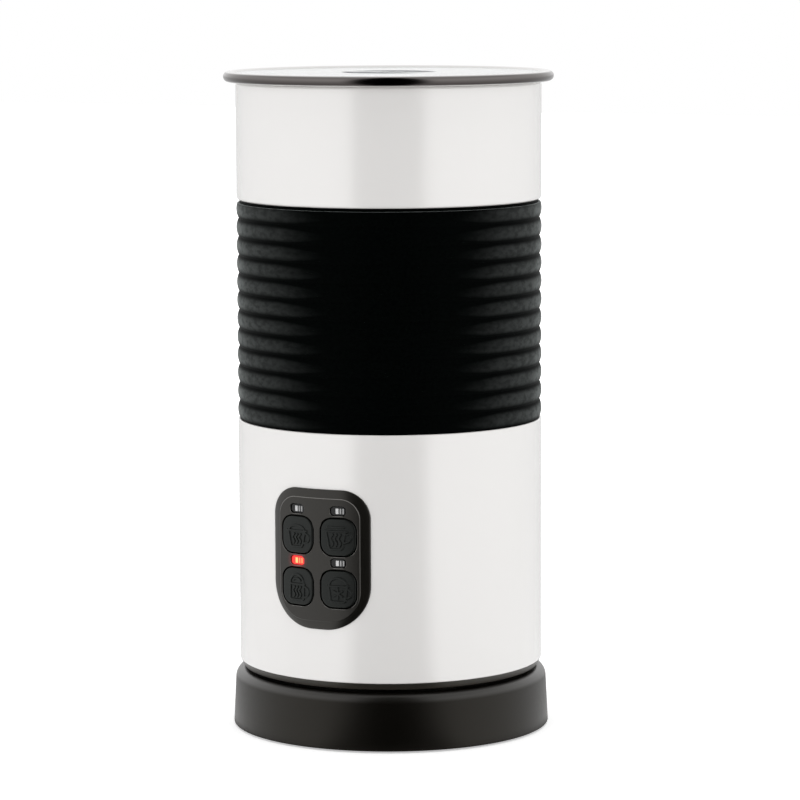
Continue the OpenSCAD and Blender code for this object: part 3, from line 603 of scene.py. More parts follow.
@dataclass(frozen=True)
class CircuitBoard(Finish):
    """Green solder mask over copper tracks, with tinned pads."""

    track: float = 0.55

    def sockets(self, nodes: Nodes) -> dict[str, Amount]:
        """The board's values."""
        maze = nodes.add("ShaderNodeTexBrick", {"offset": 0.5}, {
            "Vector": nodes.place(), "Scale": 1.0, "Mortar Size": 0.16,
            "Brick Width": 4.2, "Row Height": 1.7},
            "Fac")
        pads = 1.0 - nodes.speckle(self.track).fade(0.16, 0.22)
        mask = nodes.mix(maze, self.colour, tuple(min(1.0, 1.7 * c) for c in self.colour))
        return dict(
            Base_Color=nodes.mix(pads, mask, (0.62, 0.6, 0.56)),
            Metallic=pads,
            Roughness=self.roughness + 0.1 * nodes.noise(1.5, 2.0),
            Normal=nodes.bump(maze.most(pads), 0.03),
            Coat_Weight=0.4 * (1.0 - pads),
        )


@dataclass(frozen=True)
class IndicatorLens(Finish):
    """A smoked lens with light-emitting blocks behind its right two thirds. Only its front glows."""

    glow: Colour = BLACK
    core: Colour = BLACK
    block: Colour = (0.62, 0.62, 0.62)
    power: float = 0.0
    width: float = 5.0
    height: float = 2.8
    die_h: float = 1.7
    dies: tuple[tuple[float, float, float], ...] = ((-0.35, 0.95, 1.0), (0.75, 0.5, 0.55), (1.65, 0.5, 0.55))
    columns: tuple[float, float] = (-7.25, 7.25)
    rows: tuple[float, float] = (59.8, 76.25)
    mask_r: float = 49.0

    def sockets(self, nodes: Nodes) -> dict[str, Amount]:
        """The lens's values."""
        x, _, z = nodes.axes()
        front = nodes.reach() > self.mask_r
        left = x < 0.0
        u = x - left * self.columns[0] - (1.0 - left) * self.columns[1]
        low = z < (self.rows[0] + self.rows[1]) / 2
        v = z - low * self.rows[0] - (1.0 - low) * self.rows[1]
        tall = abs(v) < self.die_h / 2
        dies = 0.0
        for middle, width, level in self.dies:
            dies = (abs(u - middle) < width / 2) * tall * level + dies
        body = nodes.mix(dies, self.colour, self.block)
        edge = (u * u / (0.5 * self.width) ** 2 + v * v / (0.5 * self.height) ** 2).fade(0.5, 1.3)
        return dict(
            Base_Color=body,
            Roughness=self.roughness + 0.05 * nodes.noise(2.0, 2.0),
            Normal=nodes.bump(dies, 0.05),
            Specular_IOR_Level=0.2,
            Coat_Weight=0.25 - 0.1 * nodes.noise(1.0, 1.0),
            Emission_Color=nodes.mix(front, BLACK, nodes.mix(dies * (1.0 - edge), self.glow, self.core)),
            Emission_Strength=self.power,
        )


GRIP = RibbedRubber("grip_rubber", (0.0006, 0.001, 0.0009), 0.4, specular=0.004, bloom=0.04)
PAINT = GlossPaint("white_paint", (0.80, 0.785, 0.77), 0.22)
BASE = BasePlastic("base_plastic", (0.0015, 0.0012, 0.0008), 0.39, specular=0.29, tint=(1.0, 0.94, 0.84))
COVER = Moulded("cover_plastic", (0.024, 0.0215, 0.017), 0.34, specular=0.4)
PANEL = PanelPlastic("panel_plastic", (0.005, 0.0045, 0.0035), 0.3, specular=0.45)
BUTTON = Moulded("button_rubber", (0.0045, 0.005, 0.0045), 0.36, specular=0.26, tint=(0.94, 1.0, 0.97),
                 grain_scale=3.5, grain_depth=0.01)
RIM_STEEL = CoatedCup("cup_steel", (0.74, 0.73, 0.72), 0.14)

FINISHES: dict[str, Finish] = {finish.name: finish for finish in (
    GRIP, PAINT, BASE, COVER, PANEL, BUTTON, RIM_STEEL,
    Rubber("seal_rubber", (0.62, 0.6, 0.56), 0.5, specular=0.4, mottle=0.03, skin_depth=0.003),
    Rubber("foot_rubber", (0.006, 0.006, 0.006), 0.6, specular=0.3),
    Moulded("connector_plastic", (0.012, 0.012, 0.012), 0.38),
    Moulded("inner_plastic", (0.09, 0.083, 0.078), 0.5, grain_scale=2.0, grain_depth=0.015),
    Moulded("pale_plastic", (0.72, 0.68, 0.58), 0.42, mottle=0.05),
    Moulded("whisk_plastic", (0.018, 0.018, 0.019), 0.33),
    Moulded("relay_blue", (0.02, 0.08, 0.35), 0.35),
    Moulded("part_black", (0.012, 0.013, 0.015), 0.4),
    Moulded("wire_red", (0.38, 0.03, 0.02), 0.42, mottle=0.15),
    Moulded("ribbon_grey", (0.42, 0.42, 0.4), 0.45, mottle=0.12),
    Moulded("ceramic_white", (0.76, 0.73, 0.66), 0.3, grain_scale=1.5),
    Metal("bright_steel", (0.62, 0.61, 0.6), 0.2, working=Working.TURNED),
    Metal("screw_steel", (0.52, 0.52, 0.5), 0.3),
    Metal("contact_brass", (0.72, 0.5, 0.2), 0.24, working=Working.TURNED),
    Metal("bush_bronze", (0.5, 0.28, 0.12), 0.45, working=Working.CAST),
    Metal("plate_aluminium", (0.64, 0.65, 0.66), 0.5, working=Working.CAST, mark_depth=0.03),
    Metal("element_steel", (0.4, 0.38, 0.36), 0.42),
    Metal("magnet_nickel", (0.68, 0.67, 0.63), 0.16),
    Metal("magnet_ferrite", (0.09, 0.09, 0.1), 0.6, working=Working.CAST),
    ClearPlastic("clear_plastic", (0.93, 0.95, 0.96), 0.06),
    IndicatorLens("light_clear", (0.006, 0.006, 0.006), 0.15),
    IndicatorLens("light_red", (0.35, 0.02, 0.01), 0.2, glow=(0.85, 0.035, 0.035), core=(1.0, 0.5, 0.16),
                  block=(0.9, 0.25, 0.1), power=1.0),
    CircuitBoard("board_green", (0.015, 0.13, 0.05), 0.35),
    Winding("coil_yellow", (0.62, 0.42, 0.06), 0.4, metallic=0.0),
    Winding("copper_winding", (0.56, 0.2, 0.09), 0.3),
)}


# ---------- Meshes ----------


@dataclass(frozen=True)
class Extent:
    """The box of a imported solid, in millimetres."""

    low: Vector
    high: Vector

    @classmethod
    def of(cls, node: str) -> "Extent":
        """The box of the named node."""
        low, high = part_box(node)
        return cls(low / MM, high / MM)

    @property
    def radius(self) -> float:
        """The radius of a round solid that is centred on the Z axis."""
        return (self.high.x - self.low.x) / 2

    @property
    def span(self) -> Spot:
        """The lowest level, the highest level and the radius."""
        return self.low.z, self.high.z, self.radius


@dataclass(frozen=True)
class Corner:
    """A corner of a turned section: its distance from the axis, its level and its fillet."""

    r: float
    z: float
    fillet: float = 0.0

    @property
    def entry(self) -> Vector:
        """The corner's point."""
        return Vector((self.r, self.z))

    @property
    def exit(self) -> Vector:
        """The corner's point."""
        return Vector((self.r, self.z))


@dataclass(frozen=True)
class Arc:
    """A round stretch of a turned section, about a centre and between two angles in degrees."""

    r: float
    z: float
    radius: float
    start: float
    end: float
    steps: int = 24

    def point(self, share: float) -> Vector:
        """The point at a share of the way from the start to the end."""
        a = math.radians(self.start + (self.end - self.start) * share)
        return Vector((self.r + self.radius * math.cos(a), self.z + self.radius * math.sin(a)))

    @property
    def entry(self) -> Vector:
        """The first point."""
        return self.point(0.0)

    @property
    def exit(self) -> Vector:
        """The last point."""
        return self.point(1.0)


@dataclass(frozen=True)
class Edge:
    """A short edge of a section, with the true normal at each of its ends."""

    start: Point
    end: Point
    start_normal: Point
    end_normal: Point


@dataclass
class Section:
    """A closed half section that is turned about the Z axis."""

    edges: list[Edge]

    @classmethod
    def rounded(cls, *items: Union[Corner, Arc, tuple], steps: int = 6) -> "Section":
        """Rounds the corners of a closed outline that runs anticlockwise.

        Args:
            items: The corners and arcs in order. A corner may be a plain (r, z) or (r, z, fillet).
            steps: The number of short edges in each fillet.

        Returns:
            The section.
        """
        spots = [Corner(*item) if isinstance(item, tuple) else item for item in items]
        count = len(spots)
        stations = []
        for i, spot in enumerate(spots):
            if isinstance(spot, Arc):
                stations.append(cls._bow(spot))
            else:
                stations.append(cls._station(spots[i - 1], spot, spots[(i + 1) % count], steps))
        edges = []
        for i, (points, normals) in enumerate(stations):
            for k in range(len(points) - 1):
                edges.append(Edge(points[k], points[k + 1], normals[k], normals[k + 1]))
            start, end = points[-1], stations[(i + 1) % count][0][0]
            length = math.hypot(end[0] - start[0], end[1] - start[1])
            if length > TINY:
                flat = ((end[1] - start[1]) / length, -(end[0] - start[0]) / length)
                edges.append(Edge(start, end, flat, flat))
        return cls(edges)

    @classmethod
    def tube(cls, r_in: float, r_out: float, low: float, high: float, fillet: float = 0.2) -> "Section":
        """A ring between two radii and two levels, with rounded outer edges."""
        return cls.rounded((r_in, low), (r_out, low, fillet), (r_out, high, fillet), (r_in, high))

    @classmethod
    def rod(cls, r: float, low: float, high: float, fillet: float = 0.0) -> "Section":
        """A round bar about the axis, between two levels."""
        return cls.rounded((0.0, low), (r, low, fillet), (r, high, fillet), (0.0, high))

    @staticmethod
    def _bow(arc: Arc) -> tuple[list, list]:
        """The points of an arc and the normals at them."""
        sign = 1.0 if arc.end > arc.start else -1.0
        points = [arc.point(k / arc.steps) for k in range(arc.steps + 1)]
        centre = Vector((arc.r, arc.z))
        return [tuple(p) for p in points], [tuple((p - centre).normalized() * sign) for p in points]

    @staticmethod
    def _station(before: Union[Corner, Arc], corner: Corner, after: Union[Corner, Arc],
                 steps: int) -> tuple[list, list]:
        """The points of one corner and the normals at them."""
        if corner.fillet <= 0:
            return [(corner.r, corner.z)], [(0.0, 0.0)]
        here = corner.entry
        back = before.exit - here
        ahead = after.entry - here
        half = back.angle(ahead) / 2
        back_share = 0.49 if getattr(before, "fillet", 0) else 0.98
        ahead_share = 0.49 if getattr(after, "fillet", 0) else 0.98
        reach = min(corner.fillet / math.tan(half), back_share * back.length, ahead_share * ahead.length)
        radius = reach * math.tan(half)
        back.normalize()
        ahead.normalize()
        middle = here + (back + ahead).normalized() * (radius / math.sin(half))
        first = here + back * reach - middle
        last = here + ahead * reach - middle
        turn = math.atan2(first.x * last.y - first.y * last.x, first.dot(last))
        sign = 1.0 if turn > 0 else -1.0
        points, normals = [], []
        for k in range(steps + 1):
            a = turn * k / steps
            spoke = Vector((first.x * math.cos(a) - first.y * math.sin(a),
                            first.x * math.sin(a) + first.y * math.cos(a)))
            points.append(tuple(middle + spoke))
            normals.append(tuple(spoke.normalized() * sign))
        return points, normals

    def turned(self, name: str, segments: int = 256) -> bpy.types.Object:
        """Turns the section into a closed mesh with true normals.

        Args:
            name: The piece's name.
            segments: The number of facets round the axis.

        Returns:
            The new object.
        """
        points, faces, normals = [], [], []
        spokes = [(math.cos(TAU * j / segments), math.sin(TAU * j / segments)) for j in range(segments)]
        rings: dict[Point, list[int]] = {}

        def ring(spot: Point) -> list[int]:
            """The vertices of one circle, or of the one point on the axis."""
            key = (round(spot[0], 6), round(spot[1], 6))
            if key not in rings:
                if key[0] < 1e-5:
                    points.append((0.0, 0.0, spot[1] * MM))
                    rings[key] = [len(points) - 1] * segments
                else:
                    first = len(points)
                    points.extend((spot[0] * c * MM, spot[0] * s * MM, spot[1] * MM) for c, s in spokes)
                    rings[key] = list(range(first, first + segments))
            return rings[key]

        for edge in self.edges:
            low, high = ring(edge.start), ring(edge.end)
            if edge.start[0] < 1e-5 and edge.end[0] < 1e-5:
                continue
            for j in range(segments):
                k = (j + 1) % segments
                quad = [(low[j], edge.start_normal, j), (low[k], edge.start_normal, k),
                        (high[k], edge.end_normal, k), (high[j], edge.end_normal, j)]
                if low[j] == low[k]:
                    quad.pop(0)
                elif high[j] == high[k]:
                    quad.pop(3)
                faces.append([v for v, _, _ in quad])
                normals.extend((n[0] * spokes[i][0], n[0] * spokes[i][1], n[1]) for _, n, i in quad)
        mesh = bpy.data.meshes.new(name)
        mesh.from_pydata(points, [], faces)
        mesh.shade_smooth()
        mesh.normals_split_custom_set(normals)
        return Maker.linked(name, mesh)

    def carved(self, piece: bpy.types.Object, *cutters: bpy.types.Object) -> bpy.types.Object:
        """Cuts pieces out of this section's turned piece and mends its normals.

        Args:
            piece: The turned piece.
            cutters: The shapes that are taken out, which go.

        Returns:
            The piece.
        """
        Maker.carved(piece, Maker.joined("cutter", cutters) if len(cutters) > 1 else cutters[0])
        self.renew(piece)
        return piece

    def renew(self, piece: bpy.types.Object) -> None:
        """Gives a turned piece its true normals again after it was carved.

        Args:
            piece: The carved piece.
        """
        mesh = piece.data
        mesh.set_sharp_from_angle(angle=math.radians(30))
        loops = np.array([tuple(n.vector) for n in mesh.corner_normals])
        starts = np.array([e.start for e in self.edges])
        ends = np.array([e.end for e in self.edges])
        runs = ends - starts
        lengths = (runs ** 2).sum(1)
        first = np.array([e.start_normal for e in self.edges])
        last = np.array([e.end_normal for e in self.edges])
        flats = np.stack([runs[:, 1], -runs[:, 0]], 1) / np.sqrt(lengths)[:, None]
        spots = np.array([tuple(v.co) for v in mesh.vertices]) / MM
        for polygon in mesh.polygons:
            middle = np.array(polygon.center) / MM
            spoke = math.hypot(middle[0], middle[1])
            if spoke < TINY:
                continue
            out = middle[:2] / spoke
            facing = np.array([float(np.dot(out, polygon.normal[:2])), polygon.normal[2]])
            here = np.array([spoke, middle[2]])
            along = np.clip(((here - starts) * runs).sum(1) / lengths, 0, 1)
            gaps = np.hypot(*(starts + along[:, None] * runs - here).T)
            gaps[flats @ facing < 0.97] = 1e9
            best = int(gaps.argmin())
            if gaps[best] > 0.1:
                continue
            for index in polygon.loop_indices:
                spot = spots[mesh.loops[index].vertex_index]
                reach = math.hypot(spot[0], spot[1])
                if reach < TINY:
                    continue
                share = float(np.clip(np.dot(np.array([reach, spot[2]]) - starts[best], runs[best])
                                      / lengths[best], 0, 1))
                normal = first[best] * (1 - share) + last[best] * share
                loops[index] = (normal[0] * spot[0] / reach, normal[0] * spot[1] / reach, normal[1])
        mesh.normals_split_custom_set(loops)


class Maker:
    """Small jobs on objects and their meshes."""

    @staticmethod
    def linked(name: str, mesh: bpy.types.Mesh) -> bpy.types.Object:
        """A new object in the scene that shows the mesh."""
        piece = bpy.data.objects.new(name, mesh)
        bpy.context.scene.collection.objects.link(piece)
        return piece

    @staticmethod
    def joined(name: str, parts: Sequence[bpy.types.Object]) -> bpy.types.Object:
        """Joins several pieces into one.

        Args:
            name: The name of the whole.
            parts: The pieces, which go.

        Returns:
            The joined object.
        """
        with bpy.context.temp_override(active_object=parts[0], object=parts[0],
                                       selected_editable_objects=list(parts), selected_objects=list(parts)):
            bpy.ops.object.join()
        parts[0].name = name
        parts[0].data.name = name
        return parts[0]

    @staticmethod
    def moved(piece: bpy.types.Object, matrix: Matrix) -> bpy.types.Object:
        """Moves a piece's mesh and leaves the object at the origin."""
        piece.data.transform(matrix)
        return piece

    @staticmethod
    def settled(piece: bpy.types.Object) -> bpy.types.Object:
        """Applies a piece's modifiers to its mesh."""
        graph = bpy.context.evaluated_depsgraph_get()
        graph.update()
        mesh = bpy.data.meshes.new_from_object(piece.evaluated_get(graph))
        piece.modifiers.clear()
        piece.data = mesh
        return piece

    @classmethod
    def carved(cls, piece: bpy.types.Object, cutter: bpy.types.Object) -> bpy.types.Object:
        """Cuts one closed piece out of another.

        Args:
            piece: The piece that is cut.
            cutter: The shape that is taken out, which goes.

        Returns:
            The piece.
        """
        cut = piece.modifiers.new("cut", "BOOLEAN")
        cut.operation = "DIFFERENCE"
        cut.solver = "EXACT"
        cut.object = cutter
        cls.settled(piece)
        bpy.data.objects.remove(cutter)
        return piece

    @staticmethod
    def edged(piece: bpy.types.Object, angle: float = 30.0) -> bpy.types.Object:
        """Shades a piece smooth, with creases where its faces meet at more than an angle in degrees."""
        piece.data.shade_smooth()
        piece.data.set_sharp_from_angle(angle=math.radians(angle))
        return piece


class Skin:
    """Loops of points in millimetres and the faces between them."""

    def __init__(self) -> None:
        """Starts with no points."""
        self.points: list[Spot] = []
        self.faces: list[Sequence[int]] = []

    def loop(self, points: Iterable[Sequence[float]]) -> list[int]:
        """Adds points and returns their numbers."""
        first = len(self.points)
        self.points.extend(tuple(p) for p in points)
        return list(range(first, len(self.points)))

    def strip(self, low: Sequence[int], high: Sequence[int]) -> None:
        """Adds a strip of faces between two loops with as many points each."""
        for i in range(len(low)):
            k = (i + 1) % len(low)
            self.faces.append((low[i], low[k], high[k], high[i]))

    def skirt(self, loops: Sequence[Sequence[int]]) -> None:
        """Adds the strips between each loop and the next."""
        for near, far in zip(loops, loops[1:]):
            self.strip(near, far)

    def prism(self, loops: Sequence[list[int]], turned: bool = False) -> None:
        """Adds the strips between loops and a face over each end, turned inside out where asked."""
        for near, far in zip(loops, loops[1:]):
            self.strip(*(far, near) if turned else (near, far))
        ends = [loops[0][::-1], loops[-1]]
        self.faces += [tuple(reversed(end)) if turned else tuple(end) for end in ends]

    def fan(self, loop: Sequence[int], tip: int) -> None:
        """Closes a loop with triangles that meet at one point."""
        for i in range(len(loop)):
            self.faces.append((loop[i], loop[(i + 1) % len(loop)], tip))

    def piece(self, name: str, angle: float = 30.0) -> bpy.types.Object:
        """The skin as a smooth piece with its faces turned outward.

        Args:
            name: The piece's name.
            angle: Faces that meet at more than this many degrees keep a crease.

        Returns:
            The new object.
        """
        mesh = bpy.data.meshes.new(name)
        mesh.from_pydata([tuple(c * MM for c in p) for p in self.points], [], self.faces)
        mesh.validate()
        return Maker.edged(Maker.linked(name, mesh), angle)


def fit(piece: bpy.types.Object, body: str, slot: str, *nodes: str) -> bpy.types.Object:
    """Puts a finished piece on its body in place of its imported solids.

    Args:
        piece: The piece.
        body: The body that it rides on.
        slot: The material slot that it takes its finish from.
        nodes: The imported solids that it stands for.

    Returns:
        The piece.
    """
    piece.data.materials.clear()
    piece.data.materials.append(FINISHES[slot].material())
    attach(piece, body)
    if nodes:
        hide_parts(*nodes)
    log.info("%s: %d faces on %s", piece.name, len(piece.data.polygons), body)
    return piece


# ---------- The base ----------


def beside(angle: float, ring_r: float) -> Matrix:
    """Moves a piece from the Z axis out to a ring round it, at an angle in degrees from +X."""
    return Matrix.Rotation(math.radians(angle), 4, "Z") @ Matrix.Translation((ring_r * MM, 0, 0))


def ringed(section: Section, name: str, angles: Sequence[float], ring_r: float,
           segments: int = 48) -> list[bpy.types.Object]:
    """Copies of a turned piece round the Z axis.

    Args:
        section: The piece's section about its own axis.
        name: The pieces' name.
        angles: Where the copies stand, in degrees from +X.
        ring_r: Their distance from the Z axis.
        segments: The number of facets round each.

    Returns:
        The copies.
    """
    return [Maker.moved(section.turned(name, segments), beside(angle, ring_r)) for angle in angles]


@dataclass
class Screws:
    """Cross-head screws that go up into their bosses from below."""

    node: str
    name: str
    angles: tuple[float, ...]
    ring_r: float
    play: float = 0.05
    shank_r: float = 1.5
    head_r: float = 2.7
    head_h: float = 1.1
    slot_w: float = 0.7
    slot_reach: float = 1.5
    slot_depth: float = 0.7
    slot_taper: float = 0.7

    def cross(self, angle: float, low: float) -> bpy.types.Object:
        """The cutter for the cross recess of the screw at one angle, whose head starts at a level."""
        w, reach = self.slot_w / 2, self.slot_reach
        quarter = [(reach, -w), (reach, w), (w, w)]
        turns = [(1, 0), (0, 1), (-1, 0), (0, -1)]
        outline = [(x * c - y * s, x * s + y * c) for c, s in turns for x, y in quarter]
        skin = Skin()
        skin.prism([skin.loop((x * share, y * share, z) for x, y in outline)
                    for share, z in ((1.0, low - 1), (self.slot_taper, low + self.slot_depth))])
        return Maker.moved(skin.piece("cross"), beside(angle, self.ring_r))

    def sink(self, low: float, *top: Point) -> Section:
        """The cutter for a screw's hole: room for its head, its shank, and then what is asked.

        Args:
            low: The level of the surface that the head lies in.
            top: The rest of the section, from the top of the shank's hole to the axis.

        Returns:
            The cutter's section.
        """
        head, shank = self.head_r + self.play, self.shank_r + self.play
        seat = low + self.head_h
        return Section.rounded((0, low - 1), (head, low - 1), (head, seat), (shank, seat), *top)

    def build(self, body: str) -> None:
        """Makes the screws as one piece and puts them on their body."""
        low, high, _ = Extent.of(self.node).span
        neck = low + self.head_h
        section = Section.rounded(
            (0, low), (self.head_r, low, 0.5), (self.head_r, neck, 0.1), (self.shank_r, neck),
            (self.shank_r, high, 0.5), (0, high))
        made = [Maker.edged(Maker.carved(screw, self.cross(angle, low)))
                for screw, angle in zip(ringed(section, self.name, self.angles, self.ring_r), self.angles)]
        fit(Maker.joined(self.name, made), body, "screw_steel", self.node)


@dataclass
class Base:
    """The power base: a dished housing on four feet, with the hub of the turning connector."""

    wall: float = 2.2
    top_round: float = 4.0
    draft: float = 0.9
    dish_r: float = 43.6
    dish_depth: float = 1.2
    deck: float = 2.4
    throat_gap: float = 0.8
    throat_wall: float = 1.6
    throat_rise: float = 2.0
    boss_r: float = 3.2
    boss_ring_r: float = 32.0
    bosses: tuple[float, ...] = (30.0, 150.0, 270.0)
    foot_places: tuple[float, ...] = (45.0, 135.0, 225.0, 315.0)
    foot_r: float = 5.0
    gland_z: float = 9.0
    gland_r: float = 4.9
    gland_rib: float = 0.25
    bore_r: float = 3.3
    hub_r: float = 11.0
    hub_skirt_r: float = 14.0
    hub_flange: float = 2.0
    hub_bore: Point = (2.6, 8.0)
    slots: tuple[float, ...] = (8.0, 9.6, 4.8, 6.4)
    slot_z: float = 12.0
    collar_r: float = 11.05

    def __post_init__(self) -> None:
        """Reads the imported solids' boxes."""
        self.floor_box = Extent.of("base_floor")
        self.collar_box = Extent.of("locating_collar")
        self.pads = Extent.of("base_feet")
        self.foot_ring_r = math.hypot(self.pads.high.x - self.foot_r, self.pads.high.y - self.foot_r)
        self.screws = Screws("base_screws", "base_plate_screws", self.bosses, self.boss_ring_r)

    def housing(self) -> bpy.types.Object:
        """The housing: drafted wall, rounded shoulder, dish and throat."""
        low, top, r = Extent.of("base_housing").span
        seat_z = top - self.dish_depth
        deck_z = seat_z - self.deck
        throat_r = self.collar_box.radius + self.throat_gap
        throat_out = throat_r + self.throat_wall
        throat_low = self.floor_box.high.z + self.throat_rise
        section = Section.rounded(
            (r - self.wall, low), (r, low, 0.35), (r - self.draft, top, self.top_round),
            (self.dish_r, top, 0.45), (self.dish_r, seat_z, 0.3), (throat_r, seat_z, 0.4),
            (throat_r, throat_low), (throat_out, throat_low), (throat_out, deck_z),
            (r - self.draft - self.wall, deck_z), steps=12)
        bore = Section.rod(self.gland_r + 0.05, r - 7, r + 3).turned("bore", 64)
        shell = section.carved(section.turned("base_shell", 384), Maker.moved(bore, self.gland_axis()))
        pillars = ringed(Section.rod(self.boss_r, self.floor_box.high.z, deck_z + 0.4), "boss",
                         self.bosses, self.boss_ring_r)
        return Maker.joined("base_shell", [shell, *pillars])

    def gland_axis(self) -> Matrix:
        """Lays a piece that was turned about Z along +Y, at the cord inlet's level."""
        return Matrix.Translation((0, 0, self.gland_z * MM)) @ Matrix.Rotation(-math.pi / 2, 4, "X")

    def floor(self) -> bpy.types.Object:
        """The base floor, with recesses for the feet and the screw heads."""
        low, top, r = self.floor_box.span
        section = Section.rounded((0, low), (r, low, 0.3), (r, top), (0, top))
        cups = ringed(Section.rod(self.foot_r + 0.05, low - 1, self.pads.high.z + 0.01), "cup",
                      self.foot_places, self.foot_ring_r)
        shank_r = self.screws.shank_r + self.screws.play
        sinks = ringed(self.screws.sink(low, (shank_r, top + 1), (0, top + 1)), "sink", self.bosses,
                       self.boss_ring_r)
        return section.carved(section.turned("base_floor_plate"), *cups, *sinks)

    def feet(self) -> bpy.types.Object:
        """The four rubber pads, each with a shallow ring groove."""
        top = self.pads.high.z
        section = Section.rounded(
            (0, 0.15), (1.8, 0.15, 0.1), (2.1, 0, 0.1), (self.foot_r, 0, 0.6), (self.foot_r, top, 0.1),
            (0, top))
        return Maker.joined("feet", ringed(section, "foot", self.foot_places, self.foot_ring_r, 64))

    def socket(self) -> bpy.types.Object:
        """The connector's hub with its two ring slots and its centre bore."""
        low, top, r = Extent.of("base_socket").span
        skirt_low, skirt_top = low + self.hub_flange, self.collar_box.low.z
        a, b, c, d = self.slots
        bore_r, bore_z = self.hub_bore
        return Section.rounded(
            (0, low), (r, low), (r, skirt_low, 0.3), (self.hub_skirt_r, skirt_low),
            (self.hub_skirt_r, skirt_top, 0.2), (self.hub_r, skirt_top), (self.hub_r, top, 0.8),
            (b, top, 0.25), (b, self.slot_z), (a, self.slot_z), (a, top, 0.25),
            (d, top, 0.25), (d, self.slot_z), (c, self.slot_z), (c, top, 0.25),
            (bore_r, top, 0.5), (bore_r, bore_z), (0, bore_z)).turned("connector_hub", 128)

    def gland(self) -> bpy.types.Object:
        """The cord gland, with the ribs of a short strain relief."""
        box = Extent.of("cord_gland")
        inner, outer = box.low.y, box.high.y
        r, flange = self.gland_r, box.radius
        dip = r - self.gland_rib
        section = Section.rounded(
            (self.bore_r, inner), (flange, inner, 0.2), (flange, inner + 1, 0.1), (r, inner + 1),
            (r, outer - 0.7), (dip, outer - 0.6, 0.1), (dip, outer - 0.45, 0.1), (r, outer - 0.35, 0.1),
            (r, outer, 0.3), (self.bore_r, outer, 0.4))
        return Maker.moved(section.turned("cord_inlet", 96), self.gland_axis())

    def build(self) -> None:
        """Makes the base's pieces and puts them on their bodies."""
        fit(self.housing(), "base", "base_plastic", "base_housing")
        fit(self.floor(), "base", "base_plastic", "base_floor")
        fit(self.feet(), "base", "foot_rubber", "base_feet")
        fit(self.socket(), "base", "connector_plastic", "base_socket")
        fit(self.gland(), "base", "foot_rubber", "cord_gland")
        self.screws.build("base")
        low, top, r = self.collar_box.span
        collar = Section.tube(self.collar_r, r, low, top, 0.5)
        fit(collar.turned("collar_ring", 128), "turning_collar", "inner_plastic", "locating_collar")


# ---------- The frother's body ----------


@dataclass
class Underside:
    """The bottom cover with its foot ring and screws, and the plug that turns on the hub."""

    ring_out: float = 42.5
    ring_in: float = 38.0
    lip_chamfer: float = 1.0
    spigot_out: float = 45.2
    spigot_in: float = 43.2
    plate_h: float = 2.0
    plug_r: float = 16.1
    plug_in: float = 11.4
    plug_cap_r: float = 14.4
    cap_h: float = 3.8
    post_room: float = 5.6
    posts: tuple[float, ...] = (90.0, 210.0, 330.0)
    post_ring_r: float = 40.25

    def __post_init__(self) -> None:
        """Reads the shell's level and places the screws."""
        self.shell_z = Extent.of("lower_shell").low.z
        self.screws = Screws("cover_screws", "cover_plate_screws", self.posts, self.post_ring_r)

    def cover(self) -> bpy.types.Object:
        """The bottom cover."""
        low, top, lip = Extent.of("bottom_cover").span
        shell_z, bore = self.shell_z, self.plug_r + 0.1
        deck = shell_z - self.plate_h
        section = Section.rounded(
            (bore, deck, 0.2), (self.ring_in, deck, 0.2), (self.ring_in, low, 0.4), (self.ring_out, low, 0.6),
            (self.ring_out, deck, 0.3), (lip - self.lip_chamfer, deck, 0.2), (lip, shell_z, 0.1),
            (self.spigot_out, shell_z), (self.spigot_out, top, 0.3), (self.spigot_in, top),
            (self.spigot_in, shell_z), (bore, shell_z))
        shank_r, seat_z = self.screws.shank_r + self.screws.play, shell_z + 0.02
        hole = self.screws.sink(low, (shank_r, seat_z), (self.post_room, seat_z), (self.post_room, top + 1),
                                (0, top + 1))
        return section.carved(section.turned("cover_dish", 384),
                              *ringed(hole, "hole", self.posts, self.post_ring_r))

    def plug(self) -> bpy.types.Object:
        """The plug's skirt, flange and cap."""
        low, top, r = Extent.of("body_plug").span
        shell_z, cap_low, flange_top = self.shell_z, top - self.cap_h, self.shell_z + self.plate_h
        return Section.rounded(
            (0, cap_low), (self.plug_in, cap_low, 0.4), (self.plug_in, low, 0.3), (self.plug_r, low, 0.5),
            (self.plug_r, shell_z), (r, shell_z), (r, flange_top, 0.3), (self.plug_cap_r, flange_top),
            (self.plug_cap_r, top, 0.6), (0, top)).turned("plug_shell", 128)

    def build(self) -> None:
        """Makes the underside's pieces and puts them on the frother."""
        fit(self.cover(), "frother", "cover_plastic", "bottom_cover")
        fit(self.plug(), "frother", "connector_plastic", "body_plug")
        self.screws.build("frother")


def circled(corners: Sequence[tuple[float, ...]], steps: int, sides: int) -> list[Point]:
    """A closed outline of round corners and straight sides, anticlockwise.

    Args:
        corners: Each corner's centre, radius and first angle in degrees.
        steps: The number of edges in a corner.
        sides: The number of edges in a side.

    Returns:
        The outline's points.
    """
    arcs = []
    for x, y, r, start in corners:
        turns = [math.radians(start + 90 * k / steps) for k in range(steps + 1)]
        arcs.append([(x + r * math.cos(a), y + r * math.sin(a)) for a in turns])
    points = []
    for arc, following in zip(arcs, arcs[1:] + arcs[:1]):
        (x0, y0), (x1, y1) = arc[-1], following[0]
        points += arc
        points += [(x0 + (x1 - x0) * k / sides, y0 + (y1 - y0) * k / sides) for k in range(1, sides)]
    return points


def beyond(dx: float, dy: float) -> float:
    """A point's distance from a corner, from how far it is past it along each axis. Inside it is negative."""
    return math.hypot(max(dx, 0), max(dy, 0)) + min(max(dx, dy), 0)


